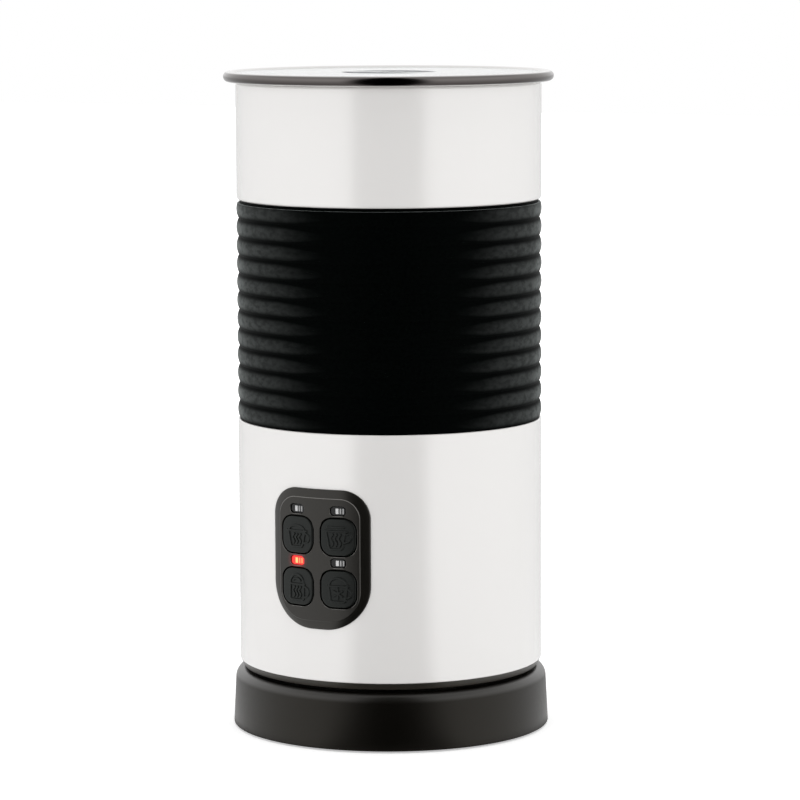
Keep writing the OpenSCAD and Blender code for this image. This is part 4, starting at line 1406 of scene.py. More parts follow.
@dataclass
class Outline:
    """The control panel's outline: a rectangle with smaller corners above and larger ones below."""

    width: float
    height: float
    top_r: float = 9.0
    low_r: float = 14.5
    low_tighten: float = 1.75
    corner_steps: int = 20
    side_steps: int = 16

    def loop(self, inset: float = 0.0) -> list[Point]:
        """The outline drawn in by an inset, anticlockwise, with the same number of points for any inset."""
        w, h = self.width / 2 - inset, self.height / 2 - inset
        top, low = self.top_r - inset, self.low_r - self.low_tighten * inset
        return circled([(w - top, h - top, top, 0), (top - w, h - top, top, 90), (low - w, low - h, low, 180),
                        (w - low, low - h, low, 270)], self.corner_steps, self.side_steps)

    def depth(self, x: float, y: float) -> float:
        """How far a point lies inside the outline; less than zero outside."""
        r = self.top_r if y > 0 else self.low_r
        return r - beyond(abs(x) - (self.width / 2 - r), abs(y) - (self.height / 2 - r))


@dataclass
class Shells:
    """The two painted shells and the ribbed rubber sleeve between them."""

    wall: float = 0.6
    curl: float = 1.1
    rib_count: int = 12
    rib_depth: float = 0.75
    rib_proud: float = 0.05
    sleeve_wall: float = 2.55
    lip_h: float = 1.0
    lip_in: float = 0.8
    lip_edge: float = 0.22

    def upper(self) -> bpy.types.Object:
        """The upper shell, with its edges turned in."""
        low, top, r = Extent.of("upper_shell").span
        inner, lip, rise = r - self.wall, r - self.curl - 0.2, self.curl + 0.3
        return Section.rounded(
            (inner, low + rise), (lip, low + 0.5), (lip, low), (r, low, self.curl), (r, top, self.curl),
            (lip, top), (lip, top - 0.5), (inner, top - rise), steps=12).turned("upper_skin", 384)

    def lower(self, window: list[Point], level: float) -> bpy.types.Object:
        """The lower shell, with the window behind the control panel.

        Args:
            window: The window's outline, as distances from its middle.
            level: The height of the window's middle.

        Returns:
            The shell.
        """
        low, top, r = Extent.of("lower_shell").span
        section = Section.rounded(
            (r - self.wall, low), (r, low, 0.5), (r, top, 0.5), (r - self.wall, top), steps=10)
        skin = Skin()
        skin.prism([skin.loop((x, y, z + level) for x, z in window) for y in (12 - r, -r - 5)])
        return section.carved(section.turned("lower_skin", 384), skin.piece("window"))

    def sleeve(self) -> bpy.types.Object:
        """The rubber sleeve: convex ribs that meet in sharp grooves, and a narrow neck at the top."""
        low, top, _ = Extent.of("grip_sleeve").span
        crest = Extent.of("lower_shell").radius + self.rib_proud
        inner = crest - self.sleeve_wall
        pitch = (top - low) / self.rib_count
        bow = ((pitch / 2) ** 2 + self.rib_depth ** 2) / (2 * self.rib_depth)
        half = math.degrees(math.asin(pitch / 2 / bow))
        ribs = [Arc(crest - bow, low + (i + 0.5) * pitch, bow, -half, half, 12)
                for i in range(self.rib_count)]
        last = ribs.pop()
        level = top - self.lip_h
        reach = math.asin((level - self.lip_edge - last.z) / bow)
        ribs.append(Arc(last.r, last.z, bow, -half, math.degrees(reach), 10))
        edge_r = last.r + bow * math.cos(reach)
        neck_r = edge_r - self.lip_in
        return Section.rounded(
            (inner, low), *ribs, (edge_r, level, self.lip_edge), (neck_r, level), (neck_r, top),
            (inner, top)).turned("grip_skin", 320)

    def build(self, window: list[Point], level: float) -> None:
        """Makes the shells and the sleeve and puts them on the frother.

        Args:
            window: The outline of the window behind the control panel.
            level: The height of its middle.
        """
        fit(self.upper(), "frother", "white_paint", "upper_shell")
        fit(self.lower(window, level), "frother", "white_paint", "lower_shell")
        fit(self.sleeve(), "frother", "grip_rubber", "grip_sleeve")


# ---------- Cup, whisk and lid ----------


@dataclass
class Cup:
    """The heated steel cup with its rolled rim, and the pin on which the whisk turns."""

    wall: float = 0.6
    corner: float = 6.0
    bead_r: float = 1.65
    seat_drop: float = 0.6
    inner_r: float = 44.0

    def build(self) -> None:
        """Makes the cup and its pin and puts them on the frother."""
        base, brim, r = Extent.of("cup").span
        floor_z = base + self.wall
        bead_z, ring_r = brim - self.bead_r, r - self.bead_r
        top = math.degrees(math.asin(self.seat_drop / self.bead_r))
        low = math.degrees(math.asin((self.seat_drop + self.wall) / self.bead_r))
        seat_z = bead_z - self.seat_drop
        outer = self.inner_r + self.wall
        section = Section.rounded(
            (0, base), (outer, base, self.corner + self.wall), (outer, seat_z - self.wall, 0.3),
            Arc(ring_r, bead_z, self.bead_r, low - 180, 180 + top, 40), (self.inner_r, seat_z, 0.6),
            (self.inner_r, floor_z, self.corner), (0, floor_z), steps=14)
        fit(section.turned("cup_wall", 384), "frother", "cup_steel", "cup")
        low, top, r = Extent.of("cup_pin").span
        fit(Section.rod(r, low, top, 0.6).turned("whisk_pin", 64), "frother", "bright_steel", "cup_pin")


@dataclass
class Whisk:
    """The magnetic whisk: a disc with a finger stem, ringed by a spring coil."""

    coil_ring_r: float = 12.6
    coil_r: float = 2.3
    wire_r: float = 0.4
    turns: int = 56
    bore_r: float = 2.05
    magnet_r: float = 2.55
    magnet_ring_r: float = 6.4
    magnet_h: float = 3.0
    stem_r: float = 3.5
    knob_r: float = 5.0
    knob_h: float = 4.0
    coil_sink: float = 0.3
    play: float = 0.05

    def __post_init__(self) -> None:
        """Reads the coil's level."""
        low, high, _ = Extent.of("whisk_coil").span
        self.coil_z = (low + high) / 2

    def hub(self) -> bpy.types.Object:
        """The disc, its stem and its knob."""
        low, top, r = Extent.of("whisk_hub").span
        deck = self.coil_z - self.coil_sink
        groove = self.coil_r + self.play
        dip = math.degrees(math.asin(self.coil_sink / groove))
        bore_top = Extent.of("cup_pin").high.z + self.play
        knob_z = top - self.knob_h
        section = Section.rounded(
            (self.bore_r, low, 0.3), (r, low, 0.8), (r, deck, 0.4),
            Arc(self.coil_ring_r, self.coil_z, groove, -dip, dip - 180, 20), (self.stem_r, deck, 1.6),
            (self.stem_r, knob_z, 0.6), (self.knob_r, knob_z, 1.2), (self.knob_r, top, 1.6), (0, top),
            (0, bore_top), (self.bore_r, bore_top), steps=10)
        holes = ringed(Section.rod(self.magnet_r, low - 1, low + self.magnet_h + 0.01), "hole",
                       (0.0, 90.0, 180.0, 270.0), self.magnet_ring_r)
        return section.carved(section.turned("whisk_disc", 192), *holes)

    def coil(self) -> bpy.types.Object:
        """The spring: one wire wound round a ring."""
        skin = Skin()
        steps, sides = self.turns * 20, 8
        wind = self.coil_r - self.wire_r
        spots, hearts = [], []
        for i in range(steps):
            a, b = TAU * i / steps, TAU * i * self.turns / steps
            reach, ring_r = self.coil_ring_r + wind * math.cos(b), self.coil_ring_r
            spots.append(Vector((reach * math.cos(a), reach * math.sin(a), self.coil_z + wind * math.sin(b))))
            hearts.append(Vector((ring_r * math.cos(a), ring_r * math.sin(a), self.coil_z)))
        loops = []
        for i, (spot, heart) in enumerate(zip(spots, hearts)):
            along = (spots[(i + 1) % steps] - spots[i - 1]).normalized()
            side = along.cross((spot - heart).normalized()).normalized()
            out = side.cross(along)
            loops.append(skin.loop(
                spot + self.wire_r * (math.cos(TAU * k / sides) * out + math.sin(TAU * k / sides) * side)
                for k in range(sides)))
        skin.skirt([*loops, loops[0]])
        return skin.piece("whisk_spring", 80)

    def build(self) -> None:
        """Makes the whisk's pieces and puts them on it."""
        fit(self.hub(), "whisk", "whisk_plastic", "whisk_hub")
        fit(self.coil(), "whisk", "bright_steel", "whisk_coil")


@dataclass
class Lid:
    """The see-through lid with its finger well, grip bar and seal."""

    skirt_out: float = 42.6
    skirt_in: float = 40.6
    groove_r: float = 41.6
    well_r: float = 15.0
    well_wall: float = 1.6
    bar_half: float = 2.5
    well_depth: float = 9.0
    floor_round: float = 1.2
    brim_round: float = 0.5
    well_blend: float = 1.6
    plate_h: float = 1.8
    skirt_h: float = 8.4
    fin_h: float = 0.9

    def moon(self, inset: float, side: float, z: float, count: int = 72) -> list[Spot]:
        """The outline of half the finger well.

        Args:
            inset: How far the outline is drawn in.
            side: One for the half toward +Y, minus one for the other.
            z: The level.
            count: The number of points.

        Returns:
            The points.
        """
        heart, blend = (self.well_r + self.bar_half) / 2, self.well_blend
        points = []
        for i in range(count):
            a = TAU * i / count
            near, far = 0.0, 2 * self.well_r
            for _ in range(36):
                reach = (near + far) / 2
                x, y = reach * math.cos(a), heart + reach * math.sin(a)
                out = math.hypot(x, y) - (self.well_r - inset)
                bar = self.bar_half + inset - y
                over = max(blend - abs(out - bar), 0) / blend
                if max(out, bar) + over * over * blend / 4 > 0:
                    far = reach
                else:
                    near = reach
            points.append((x, side * y, z))
        return points

    def plate(self) -> bpy.types.Object:
        """The lid's plate, skirt and finger well."""
        low, top, r = Extent.of("lid").span
        seat_z = top - self.plate_h
        skirt_z = seat_z - self.skirt_h
        seal_low, seal_top, _ = Extent.of("lid_seal").span
        seal_top += 0.1
        well = self.well_r + self.well_wall
        section = Section.rounded(
            (0, low), (well, low, 1.6), (well, seat_z, 1.0), (self.skirt_in, seat_z, 0.6),
            (self.skirt_in, skirt_z, 0.4), (self.skirt_out, skirt_z, 0.5), (self.skirt_out, seal_low),
            (self.groove_r, seal_low), (self.groove_r, seal_top), (self.skirt_out, seal_top),
            (self.skirt_out, seat_z, 0.3), (r, seat_z, 0.3), (r, top, 0.6), (0, top), steps=8)
        piece = section.turned("lid_plate", 384)
        floor_z = top - self.well_depth
        levels = [(self.floor_round * (1 - math.sin(a)), floor_z + self.floor_round * (1 - math.cos(a)))
                  for a in np.linspace(0, math.pi / 2, 7)]
        levels += [(self.brim_round * (math.cos(a) - 1), top - self.brim_round * (1 - math.sin(a)))
                   for a in np.linspace(0, math.pi / 2, 5)]
        levels.append((-self.brim_round, top + 2))
        for side in (1.0, -1.0):
            skin = Skin()
            skin.prism([skin.loop(self.moon(inset, side, z)) for inset, z in levels], turned=side < 0)
            Maker.carved(piece, skin.piece("half_well"))
        section.renew(piece)
        return piece

    def seal(self) -> bpy.types.Object:
        """The seal: a band with two soft fins."""
        low, top, r = Extent.of("lid_seal").span
        inner, low_fin, top_fin = self.groove_r + 0.05, low + self.fin_h, top - self.fin_h
        return Section.rounded(
            (inner, low), (r, low + 0.25, 0.3), (r, low_fin, 0.3), (self.skirt_out, low_fin, 0.2),
            (self.skirt_out, top_fin, 0.2), (r, top_fin + 0.1, 0.3), (r, top, 0.3),
            (inner, top)).turned("lid_gasket", 384)

    def build(self) -> None:
        """Makes the lid's pieces and puts them on it."""
        fit(self.plate(), "lid", "clear_plastic", "lid")
        fit(self.seal(), "lid", "seal_rubber", "lid_seal")


# ---------- The control panel ----------


def wrapped(x: float, z: float, r: float, angle: float = 0.0) -> Spot:
    """A point of a drawing that is pushed onto a cylinder about the Z axis.

    Args:
        x: The distance to the right of the drawing's middle.
        z: The level.
        r: The cylinder's radius.
        angle: The angle from -Y that the drawing faces, in degrees.

    Returns:
        The point.
    """
    y = -math.sqrt(r * r - x * x)
    c, s = math.cos(math.radians(angle)), math.sin(math.radians(angle))
    return (x * c - y * s, x * s + y * c, z)


@dataclass(frozen=True)
class Pad:
    """A rounded rectangle on the panel, at its own angle and level."""

    width: float
    height: float
    corner: float
    angle: float
    z: float

    def loop(self, grow: float = 0.0, steps: int = 14, sides: int = 14) -> list[Point]:
        """The outline as distances from its middle, anticlockwise, made larger all round by an amount."""
        w, h, r = self.width / 2 + grow, self.height / 2 + grow, max(self.corner + grow, 0.02)
        return circled([(w - r, h - r, r, 0), (r - w, h - r, r, 90), (r - w, r - h, r, 180),
                        (w - r, r - h, r, 270)], steps, sides)

    def wrap(self, places: Iterable[Sequence[float]], r: Union[float, np.ndarray]) -> list[Spot]:
        """Places on the pad, pushed onto a cylinder of radius r, or each onto its own."""
        places = list(places)
        reaches = np.broadcast_to(r, len(places))
        return [wrapped(x, self.z + y, reach, self.angle) for (x, y), reach in zip(places, reaches)]

    def grown(self, amount: float) -> "Pad":
        """The pad made larger all round by an amount."""
        width, height = self.width + 2 * amount, self.height + 2 * amount
        return Pad(width, height, self.corner + amount, self.angle, self.z)

    def covers(self, x: float, z: float, r: float) -> bool:
        """Whether a point of the panel's face lies on the pad."""
        u = x - r * math.sin(math.radians(self.angle))
        return beyond(abs(u) - (self.width / 2 - self.corner),
                      abs(z - self.z) - (self.height / 2 - self.corner)) < self.corner


class Drink(Enum):
    """The four programs, each with a pictogram of its own on its button."""

    HOT_FROTH = "hot_froth"
    HOT_MILK = "hot_milk"
    DENSE_FROTH = "dense_froth"
    COLD_FROTH = "cold_froth"


@dataclass(frozen=True)
class Pictogram:
    """Raised line drawings of cups, made of strokes."""

    scale: float = 1.3
    half_width: float = 0.24
    edge: float = 0.12

    @staticmethod
    def bow(x: float, y: float, rx: float, ry: float, start: float, end: float) -> list[Point]:
        """A stretch of an ellipse, between two angles in degrees."""
        return [(x + rx * math.cos(math.radians(a)), y + ry * math.sin(math.radians(a)))
                for a in np.linspace(start, end, 15)]

    @staticmethod
    def ripple(x: float, low: float, high: float, swing: float = 0.28) -> list[Point]:
        """An upright wavy line."""
        return [(x + swing * math.sin(TAU * k / 12), low + (high - low) * k / 14) for k in range(15)]

    def strokes(self, drink: Drink) -> list[list[Point]]:
        """The lines of one program's drawing.

        Args:
            drink: The program.

        Returns:
            The lines, as distances from the button's middle.
        """
        if drink is Drink.HOT_FROTH:
            return [[(-2.5, 1.0), (-1.75, -2.5), (-1.4, -2.9), (1.4, -2.9), (1.75, -2.5), (2.5, 1.0)],
                    [(-2.9, 1.0), (2.9, 1.0)], self.bow(0, 1.0, 2.3, 1.35, 0, 180),
                    self.bow(2.3, -0.7, 1.3, 1.15, -95, 70),
                    *[self.ripple(x, -2.1, 0.2) for x in (-0.95, 0.0, 0.95)]]
        if drink is Drink.HOT_MILK:
            return [[(-3.0, 1.5), (-2.2, -2.5), (-1.8, -2.9), (0.8, -2.9), (1.2, -2.5), (2.0, 1.5)],
                    [(-3.4, 1.5), (2.4, 1.5)], [(1.9, 0.7), (3.1, 1.1), (3.6, 0.2), (2.9, -0.9), (1.6, -1.3)],
                    [(-2.6, 2.5), (1.6, 2.5)], *[self.ripple(x, -2.1, 0.7) for x in (-1.5, -0.5, 0.5)]]
        if drink is Drink.DENSE_FROTH:
            return [[(-2.0, 0.6), (-2.0, -2.9), (-1.7, -3.2), (1.7, -3.2), (2.0, -2.9), (2.0, 0.6)],
                    [(-2.3, 0.6), (2.3, 0.6)], self.bow(0, 0.6, 2.0, 2.4, 0, 180),
                    self.bow(0, 1.2, 1.1, 0.8, 20, 160), self.bow(2.0, -1.2, 1.4, 1.3, -90, 90),
                    *[self.ripple(x, -2.5, -0.1) for x in (-0.9, 0.0, 0.9)]]
        spokes = [[(side * 1.25 * math.cos(a), -1.0 + side * 1.25 * math.sin(a)) for side in (1, -1)]
                  for a in (math.radians(30), math.radians(90), math.radians(150))]
        return [[(-2.4, 0.8), (-1.9, -2.7), (-1.5, -3.0), (1.5, -3.0), (1.9, -2.7), (2.4, 0.8)],
                [(-2.7, 0.8), (2.7, 0.8)], self.bow(0, 0.8, 2.3, 2.0, 0, 180),
                self.bow(2.2, -0.9, 1.3, 1.1, -95, 75), *spokes]

    def height(self, drink: Drink, places: np.ndarray) -> np.ndarray:
        """How far the drawing stands up at some places, from zero to one.

        Args:
            drink: The program.
            places: Distances from the button's middle, one row each.

        Returns:
            The heights.
        """
        nearest = np.full(len(places), 1e9)
        for line in (np.array(stroke) * self.scale for stroke in self.strokes(drink)):
            for start, end in zip(line, line[1:]):
                run, gap = end - start, places - start
                share = np.clip((gap @ run) / max(run @ run, 1e-9), 0, 1)
                nearest = np.minimum(nearest, np.hypot(*(gap - share[:, None] * run).T))
        t = np.clip((nearest - self.half_width) / self.edge, 0, 1)
        return 1 - t * t * (3 - 2 * t)


@dataclass
class ControlPanel:
    """The curved control panel: one moulding, four push buttons and four indicator windows."""

    button_w: float = 11.7
    button_corner: float = 3.9
    button_gap: float = 0.35
    button_proud: float = 0.05
    column_angle: float = 8.3
    row_rise: float = 13.2
    row_pitch: float = 16.45
    window_rise: float = 8.25
    window_w: float = 5.0
    window_h: float = 2.8
    window_corner: float = 1.0
    window_depth: float = 0.4
    window_gap: float = 0.1
    window_dome: float = 0.08
    rounding: float = 0.55
    face_grid: float = 0.8
    rim_margin: float = 0.45
    rim: tuple[Point, ...] = ((0.22, 0.0), (0.15, -0.02), (0.08, -0.07), (0.03, -0.15), (0.0, -0.4))
    stem_r: float = 1.5
    neck_inset: float = 1.9
    neck_wall: float = 1.4
    neck_y: float = 40.6
    back_r: float = 48.2
    relief: float = 0.34
    border: tuple[Point, ...] = (
        (0.0, 0.05), (0.0, 0.36), (0.06, 0.46), (0.2, 0.53), (0.9, 0.72), (1.7, 0.93),
        (2.45, 1.09), (2.62, 1.11), (2.72, 1.15), (2.8, 1.22), (2.86, 1.28), (2.95, 1.3))
    drinks: tuple[Drink, ...] = (Drink.HOT_FROTH, Drink.HOT_MILK, Drink.DENSE_FROTH, Drink.COLD_FROTH)

    def __post_init__(self) -> None:
        """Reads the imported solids' boxes and places the buttons and windows."""
        box = Extent.of("control_panel")
        self.middle_z = (box.low.z + box.high.z) / 2
        self.outline = Outline(box.high.x - box.low.x, box.high.z - box.low.z)
        self.shell_r = Extent.of("lower_shell").radius
        self.face_r = self.shell_r + self.border[-1][1]
        low_z = box.low.z + self.row_rise
        places = [(side * self.column_angle, low_z + self.row_pitch * row)
                  for row in (1, 0) for side in (-1, 1)]
        self.buttons = [Pad(self.button_w, self.button_w, self.button_corner, a, z) for a, z in places]
        self.windows = [Pad(self.window_w, self.window_h, self.window_corner, a, z + self.window_rise)
                        for a, z in places]
        self.holes = [*(pad.grown(self.button_gap) for pad in self.buttons),
                      *(pad.grown(self.window_gap) for pad in self.windows)]

    def neck_window(self) -> list[Point]:
        """The outline of the opening that the neck needs in the shell."""
        return self.outline.loop(self.neck_inset - 0.1)

    def ring(self, skin: Skin, inset: float, r: float) -> list[int]:
        """Adds the panel's outline to a skin, on a cylinder of radius r."""
        return skin.loop(wrapped(x, self.middle_z + y, r) for x, y in self.outline.loop(inset))

    def patch(self, skin: Skin, outer: list[int], holes: list[list[int]], r: float, front: bool) -> None:
        """Fills the panel's face or back between its outer loop and its holes.

        Args:
            skin: The skin that gets the faces.
            outer: The outer loop.
            holes: The holes' loops.
            r: The radius of the face.
            front: Whether the faces look outward.
        """
        numbers = outer + [n for hole in holes for n in hole]
        flat = [Vector((skin.points[n][0], skin.points[n][2])) for n in numbers]
        edges, start = [], 0
        for loop in [outer, *holes]:
            count = len(loop)
            edges += [(start + i, start + (i + 1) % count) for i in range(count)]
            start += count
        inset = self.border[-1][0] + 0.5
        half_w, half_h = self.outline.width / 2, self.outline.height / 2
        rims = [hole.grown(self.rim_margin) for hole in self.holes]
        for x in np.arange(-half_w, half_w, self.face_grid):
            for y in np.arange(-half_h, half_h, self.face_grid):
                clear = not any(rim.covers(x, self.middle_z + y, r) for rim in rims)
                if self.outline.depth(x, y) > inset and clear:
                    flat.append(Vector((x, self.middle_z + y)))
                    numbers += skin.loop([wrapped(x, self.middle_z + y, r)])
        _, _, faces, originals, _, _ = delaunay_2d_cdt(flat, edges, [], 0, 1e-6)
        for face in faces:
            corners = [originals[v][0] for v in face]
            x = sum(flat[c].x for c in corners) / len(corners)
            z = sum(flat[c].y for c in corners) / len(corners)
            if any(hole.covers(x, z, r) for hole in self.holes):
                continue
            loop = [numbers[c] for c in corners]
            skin.faces.append(tuple(loop if front else reversed(loop)))

    def moulding(self) -> bpy.types.Object:
        """The panel itself: sloping border, crease, face with its holes, neck and back."""
        skin = Skin()
        rings = [self.ring(skin, inset, self.shell_r + rise) for inset, rise in self.border]
        skin.skirt(rings)
        rims, ends = [], []
        for hole in self.holes:
            levels = [*((grow, self.face_r + drop) for grow, drop in self.rim), (0.0, self.back_r)]
            loops = [skin.loop(hole.wrap(hole.loop(grow), r)) for grow, r in levels]
            skin.skirt(loops)
            rims.append(loops[0])
            ends.append(loops[-1])
        self.patch(skin, rings[-1], rims, self.face_r, True)
        seat = self.ring(skin, self.neck_inset, self.shell_r + 0.05)
        skin.strip(seat, rings[0])
        neck = [skin.loop((x, -self.neck_y, self.middle_z + y) for x, y in self.outline.loop(inset))
                for inset in (self.neck_inset, self.neck_inset + self.neck_wall)]
        skin.strip(neck[0], seat)
        skin.strip(neck[1], neck[0])
        back = self.ring(skin, self.neck_inset + self.neck_wall, self.back_r)
        skin.strip(back, neck[1])
        self.patch(skin, back, ends, self.back_r, False)
        piece = skin.piece("panel_moulding", 24)
        self.round_normals(piece)
        return piece

    def round_normals(self, piece: bpy.types.Object) -> None:
        """Gives the faces that lie on the panel's cylinder its true normals."""
        mesh = piece.data
        loops = [tuple(n.vector) for n in mesh.corner_normals]
        for polygon in mesh.polygons:
            spots = [mesh.vertices[v].co / MM for v in polygon.vertices]
            if all(abs(math.hypot(s.x, s.y) - self.face_r) < 0.003 for s in spots):
                for index, spot in zip(polygon.loop_indices, spots):
                    loops[index] = (spot.x / self.face_r, spot.y / self.face_r, 0.0)
        mesh.normals_split_custom_set(loops)

    @staticmethod
    def crowned(pad: Pad, name: str, loops: Iterable[list[Spot]], tip_r: float,
                crease: float) -> bpy.types.Object:
        """A closed piece whose loops run from its back to its front.

        Args:
            pad: The piece's outline and place.
            name: Its name.
            loops: The points of its loops.
            tip_r: The radius of the point at its front.
            crease: The angle that keeps a crease, in degrees.

        Returns:
            The piece.
        """
        skin = Skin()
        rows = [skin.loop(points) for points in loops]
        skin.skirt(rows)
        skin.fan(rows[-1], skin.loop(pad.wrap([(0.0, 0.0)], tip_r))[0])
        skin.faces.append(tuple(reversed(rows[0])))
        return skin.piece(name, crease)

    def button(self, pad: Pad, drink: Drink) -> bpy.types.Object:
        """A push button: rounded cap with its raised pictogram, and the stem behind it.

        Args:
            pad: The cap's outline and place.
            drink: The program that it starts.

        Returns:
            The button.
        """
        top_r, rounding, rings = self.face_r + self.button_proud, self.rounding, 74
        profile = [(0.0, self.back_r - 1.2), (0.0, top_r - rounding)]
        profile += [(rounding * (1 - math.cos(a)), top_r - rounding * (1 - math.sin(a)))
                    for a in np.linspace(0, math.pi / 2, 8)[1:]]
        loops = [pad.wrap(pad.loop(-inset, 26, 34), r) for inset, r in profile]
        edge = np.array(pad.loop(-rounding, 26, 34))
        for i in range(1, rings):
            places = edge * (1 - i / rings)
            loops.append(pad.wrap(places, top_r + Pictogram().height(drink, places) * self.relief))
        cap = self.crowned(pad, f"{drink.value}_cap", loops, top_r, 50)
        stem = Section.rod(self.stem_r, self.neck_y + 4.7, self.back_r - 1.0, 0.3).turned("stem", 32)
        lay = (Matrix.Rotation(math.radians(pad.angle), 4, "Z") @ Matrix.Translation((0, 0, pad.z * MM))
               @ Matrix.Rotation(math.pi / 2, 4, "X"))
        return Maker.joined(f"{drink.value}_cap", [cap, Maker.moved(stem, lay)])

    def lens(self, pad: Pad, name: str) -> bpy.types.Object:
        """An indicator lens, faintly domed.

        Args:
            pad: The lens's outline and place.
            name: The piece's name.

        Returns:
            The lens.
        """
        top_r = self.face_r - self.window_depth
        profile = [(0.0, self.neck_y + 2), (0.0, top_r - 0.2), (0.06, top_r - 0.06), (0.2, top_r)]
        loops = [pad.wrap(pad.loop(-inset), r) for inset, r in profile]
        edge = np.array(pad.loop(-0.2))
        loops += [pad.wrap(edge * share, top_r + self.window_dome * (1 - share * share))
                  for share in (0.8, 0.6, 0.4, 0.2)]
        return self.crowned(pad, name, loops, top_r + self.window_dome, 40)

    def build(self) -> None:
        """Makes the panel's pieces and puts them on their bodies."""
        fit(self.moulding(), "frother", "panel_plastic", "control_panel")
        for pad, drink in zip(self.buttons, self.drinks):
            fit(self.button(pad, drink), f"{drink.value}_press", "button_rubber", f"{drink.value}_button")
        dark = [self.lens(self.windows[i], "window_lens") for i in (0, 1, 3)]
        fit(Maker.joined("window_lenses", dark), "frother", "light_clear", "led_windows")
        fit(self.lens(self.windows[2], "lit_lens"), "frother", "light_red", "lit_led_window")


# ---------- Inside, light and camera ----------


def dress_inside() -> None:
    """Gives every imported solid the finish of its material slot."""
    for name, node in frame["nodes"].items():
        for slot in node.material_slots:
            if slot.material and slot.material.name.split(".")[0] in FINISHES:
                slot.material = FINISHES[slot.material.name.split(".")[0]].material()
        log.info("%s: %s", name, node.material_slots[0].material.name)


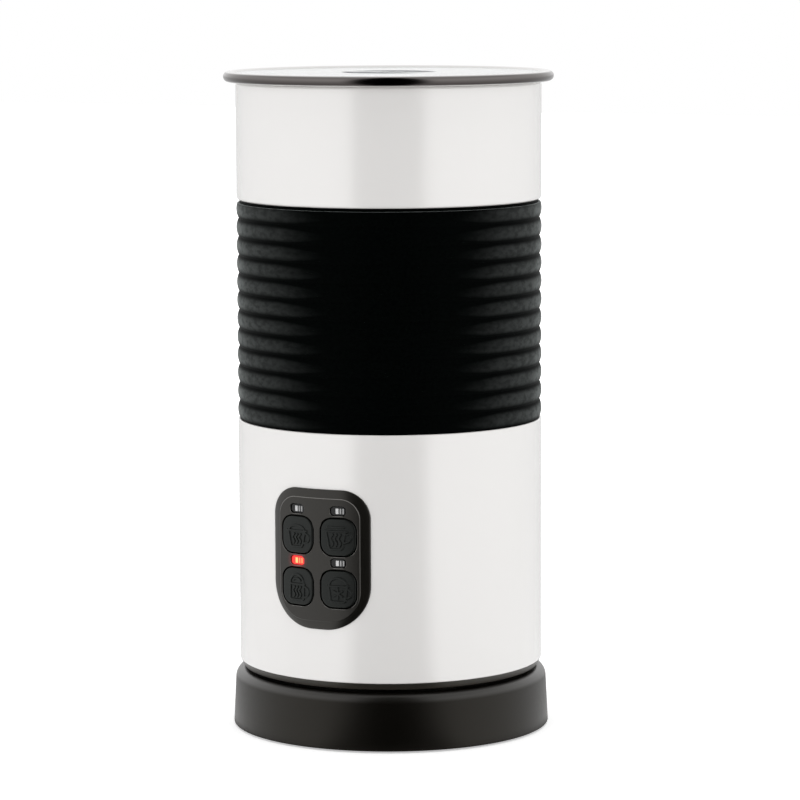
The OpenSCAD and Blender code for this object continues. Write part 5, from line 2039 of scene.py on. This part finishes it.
@dataclass
class Studio:
    """A pale floor, soft light from both sides and behind, and the camera."""

    azimuth: float = 27.35
    reach: float = 1187.2
    height: float = 251.5
    pitch: float = 7.018
    pan: float = 0.159
    roll: float = -0.223
    lens: float = 166.37
    wall_r: float = 1500.0
    wall_low: float = -20.0
    wall_high: float = 1300.0
    gap_start: float = 19.0
    gap_end: float = 34.0
    side_light: float = 1.3
    back_light: float = 0.75
    fill_light: float = 1.185
    rear_light: float = 1.03
    rear_z: float = 235.0
    wall_step: float = 100.0
    sky_light: float = 0.5
    back_turn: Point = (70.0, 165.0)
    rear_blend: float = 15.0
    table_r: float = 54.0
    table_z: float = 0.4
    lamp_size: float = 1.4
    lamp_power: float = 7.0
    lamp_height: float = 1.5
    floor_half: float = 4.0
    shade: float = 0.45
    floor_tint: Colour = (0.87, 0.87, 0.87)
    shade_reach: float = 240.0

    def camera(self) -> None:
        """Makes the camera and looks through it."""
        data = bpy.data.cameras.new("camera")
        data.lens = self.lens
        data.sensor_width = 36.0
        data.clip_start, data.clip_end = 0.05, 50.0
        a = math.radians(self.azimuth)
        place = Matrix.Translation((self.reach * MM * math.sin(a), -self.reach * MM * math.cos(a),
                                    self.height * MM))
        turn = (Matrix.Rotation(a - math.radians(self.pan), 4, "Z")
                @ Matrix.Rotation(math.radians(90 - self.pitch), 4, "X")
                @ Matrix.Rotation(math.radians(self.roll), 4, "Z"))
        camera = bpy.data.objects.new("camera", data)
        camera.matrix_world = place @ turn
        bpy.context.scene.collection.objects.link(camera)
        bpy.context.scene.camera = camera

    def bearing(self, nodes: Nodes, point: Term) -> Term:
        """The angle between a point's direction from the Z axis and the light gap's middle, in degrees."""
        x, y, _ = nodes.split(point)
        a = math.radians(self.azimuth)
        along = x * math.sin(a) - y * math.cos(a)
        across = x * math.cos(a) + y * math.sin(a)
        return abs(across.angle(along)) * (180 / math.pi)

    def mirrored(self, nodes: Nodes) -> Term:
        """Reflected light: dark in the gap, even at the sides, then the back's, which is brighter high up."""
        place = nodes.place()
        bearing = self.bearing(nodes, place)
        _, _, z = nodes.split(place)
        high = z.fade(self.rear_z - self.rear_blend, self.rear_z + self.rear_blend)
        back = self.back_light + high * (self.rear_light - self.back_light)
        sides = bearing.fade(self.gap_start, self.gap_end) * self.side_light
        return sides + bearing.fade(*self.back_turn) * (back - self.side_light)

    def glow(self, name: str, level: Callable[[Nodes], Term | float]) -> bpy.types.Material:
        """A light of the given level."""
        return painted(name, lambda nodes: nodes.add(
            "ShaderNodeEmission", inputs={"Color": nodes.grey(level(nodes)), "Strength": 1.0}))

    def ring(self, name: str, spots: Sequence[Point], glow: bpy.types.Material) -> bpy.types.Object:
        """An open band turned about the Z axis through the given points, for light only."""
        skin = Skin()
        skin.skirt([skin.loop((r * math.cos(TAU * k / 96), r * math.sin(TAU * k / 96), z) for k in range(96))
                    for r, z in spots])
        band = skin.piece(name)
        band.data.materials.append(glow)
        band.visible_camera = False
        return band

    def lights(self) -> None:
        """Makes the reflected wall and its mirror on the floor, the lighting wall, and the light above."""
        fill_r, level = self.wall_r - self.wall_step, self.table_z
        wall = self.ring("light_wall", [(self.wall_r, self.wall_low), (self.wall_r, self.wall_high)],
                         self.glow("wall_glow", self.mirrored))
        fill = self.ring("fill_wall", [(fill_r, self.wall_low), (fill_r, self.wall_high)],
                         self.glow("fill_glow", lambda nodes: self.fill_light))
        table = self.ring("light_table", [(self.table_r, level), (self.wall_r, level)],
                          self.glow("table_glow", self.mirrored))
        wall.visible_diffuse = table.visible_diffuse = False
        fill.visible_glossy = fill.visible_transmission = False
        table.visible_shadow = table.visible_transmission = False
        top = bpy.data.lights.new("top_light", "AREA")
        top.shape = "DISK"
        top.size, top.energy = self.lamp_size, self.lamp_power
        lamp = bpy.data.objects.new("top_light", top)
        lamp.visible_glossy = False
        lamp.location = (0, 0, self.lamp_height)
        bpy.context.scene.collection.objects.link(lamp)

    def floor_shader(self, nodes: Nodes) -> Term:
        """Pale above, white to the camera away from the object, and clear from below."""
        seen = nodes.add("ShaderNodeLightPath", output="Is Camera Ray")
        open_floor = nodes.reach().fade(self.shade_reach / 3, self.shade_reach)
        glow = nodes.grey(seen * (self.shade + (1.0 - self.shade) * open_floor))
        pale = tuple(0.99 * c for c in self.floor_tint)
        top = nodes.surface(
            Base_Color=nodes.mix(nodes.noise(0.02, 2.0), pale, self.floor_tint), Roughness=0.9,
            Specular_IOR_Level=0.0, Emission_Color=glow, Emission_Strength=1.0)
        below = nodes.add("ShaderNodeNewGeometry", output="Backfacing")
        return nodes.add("ShaderNodeMixShader", inputs={
            0: below, 1: top, 2: nodes.add("ShaderNodeBsdfTransparent")})

    def floor(self) -> None:
        """The pale floor, which keeps the object's shadow."""
        mesh = bpy.data.meshes.new("floor")
        half = self.floor_half
        corners = [(-half, -half, 0.0), (half, -half, 0.0), (half, half, 0.0), (-half, half, 0.0)]
        mesh.from_pydata(corners, [], [(0, 1, 2, 3)])
        mesh.materials.append(painted("floor", self.floor_shader))
        floor = Maker.linked("floor", mesh)

    def sky(self) -> None:
        """White all round to the camera and in reflections, and softer as light."""
        world = bpy.data.worlds.new("sky")
        bpy.context.scene.world = world
        world.use_nodes = True
        nodes = Nodes(world.node_tree)
        path = nodes.add("ShaderNodeLightPath").socket.node
        seen, mirrored, through = (Term(nodes, path.outputs[name])
                                   for name in ("Is Camera Ray", "Is Glossy Ray", "Is Transmission Ray"))
        way = nodes.add("ShaderNodeTexCoord", output="Generated")
        level = mirrored.most(through) * (1.0 - self.sky_light) + self.sky_light
        strength = seen.most(level * self.bearing(nodes, way).fade(self.gap_start, self.gap_end))
        glow = nodes.add("ShaderNodeBackground", inputs={"Color": (1, 1, 1, 1), "Strength": strength})
        nodes.show(glow, "ShaderNodeOutputWorld")

    def build(self) -> None:
        """Makes the camera, the lights, the floor and the sky."""
        self.camera()
        self.lights()
        self.floor()
        self.sky()
        bpy.context.scene.view_settings.view_transform = "Standard"


def main() -> None:
    """Builds every sub-assembly in order."""
    logging.basicConfig(level=logging.INFO, format="%(message)s")
    dress_inside()
    panel = ControlPanel()
    Base().build()
    Underside().build()
    Shells().build(panel.neck_window(), panel.middle_z)
    Cup().build()
    Whisk().build()
    Lid().build()
    panel.build()
    Studio().build()


if __name__ == "__main__":
    main()
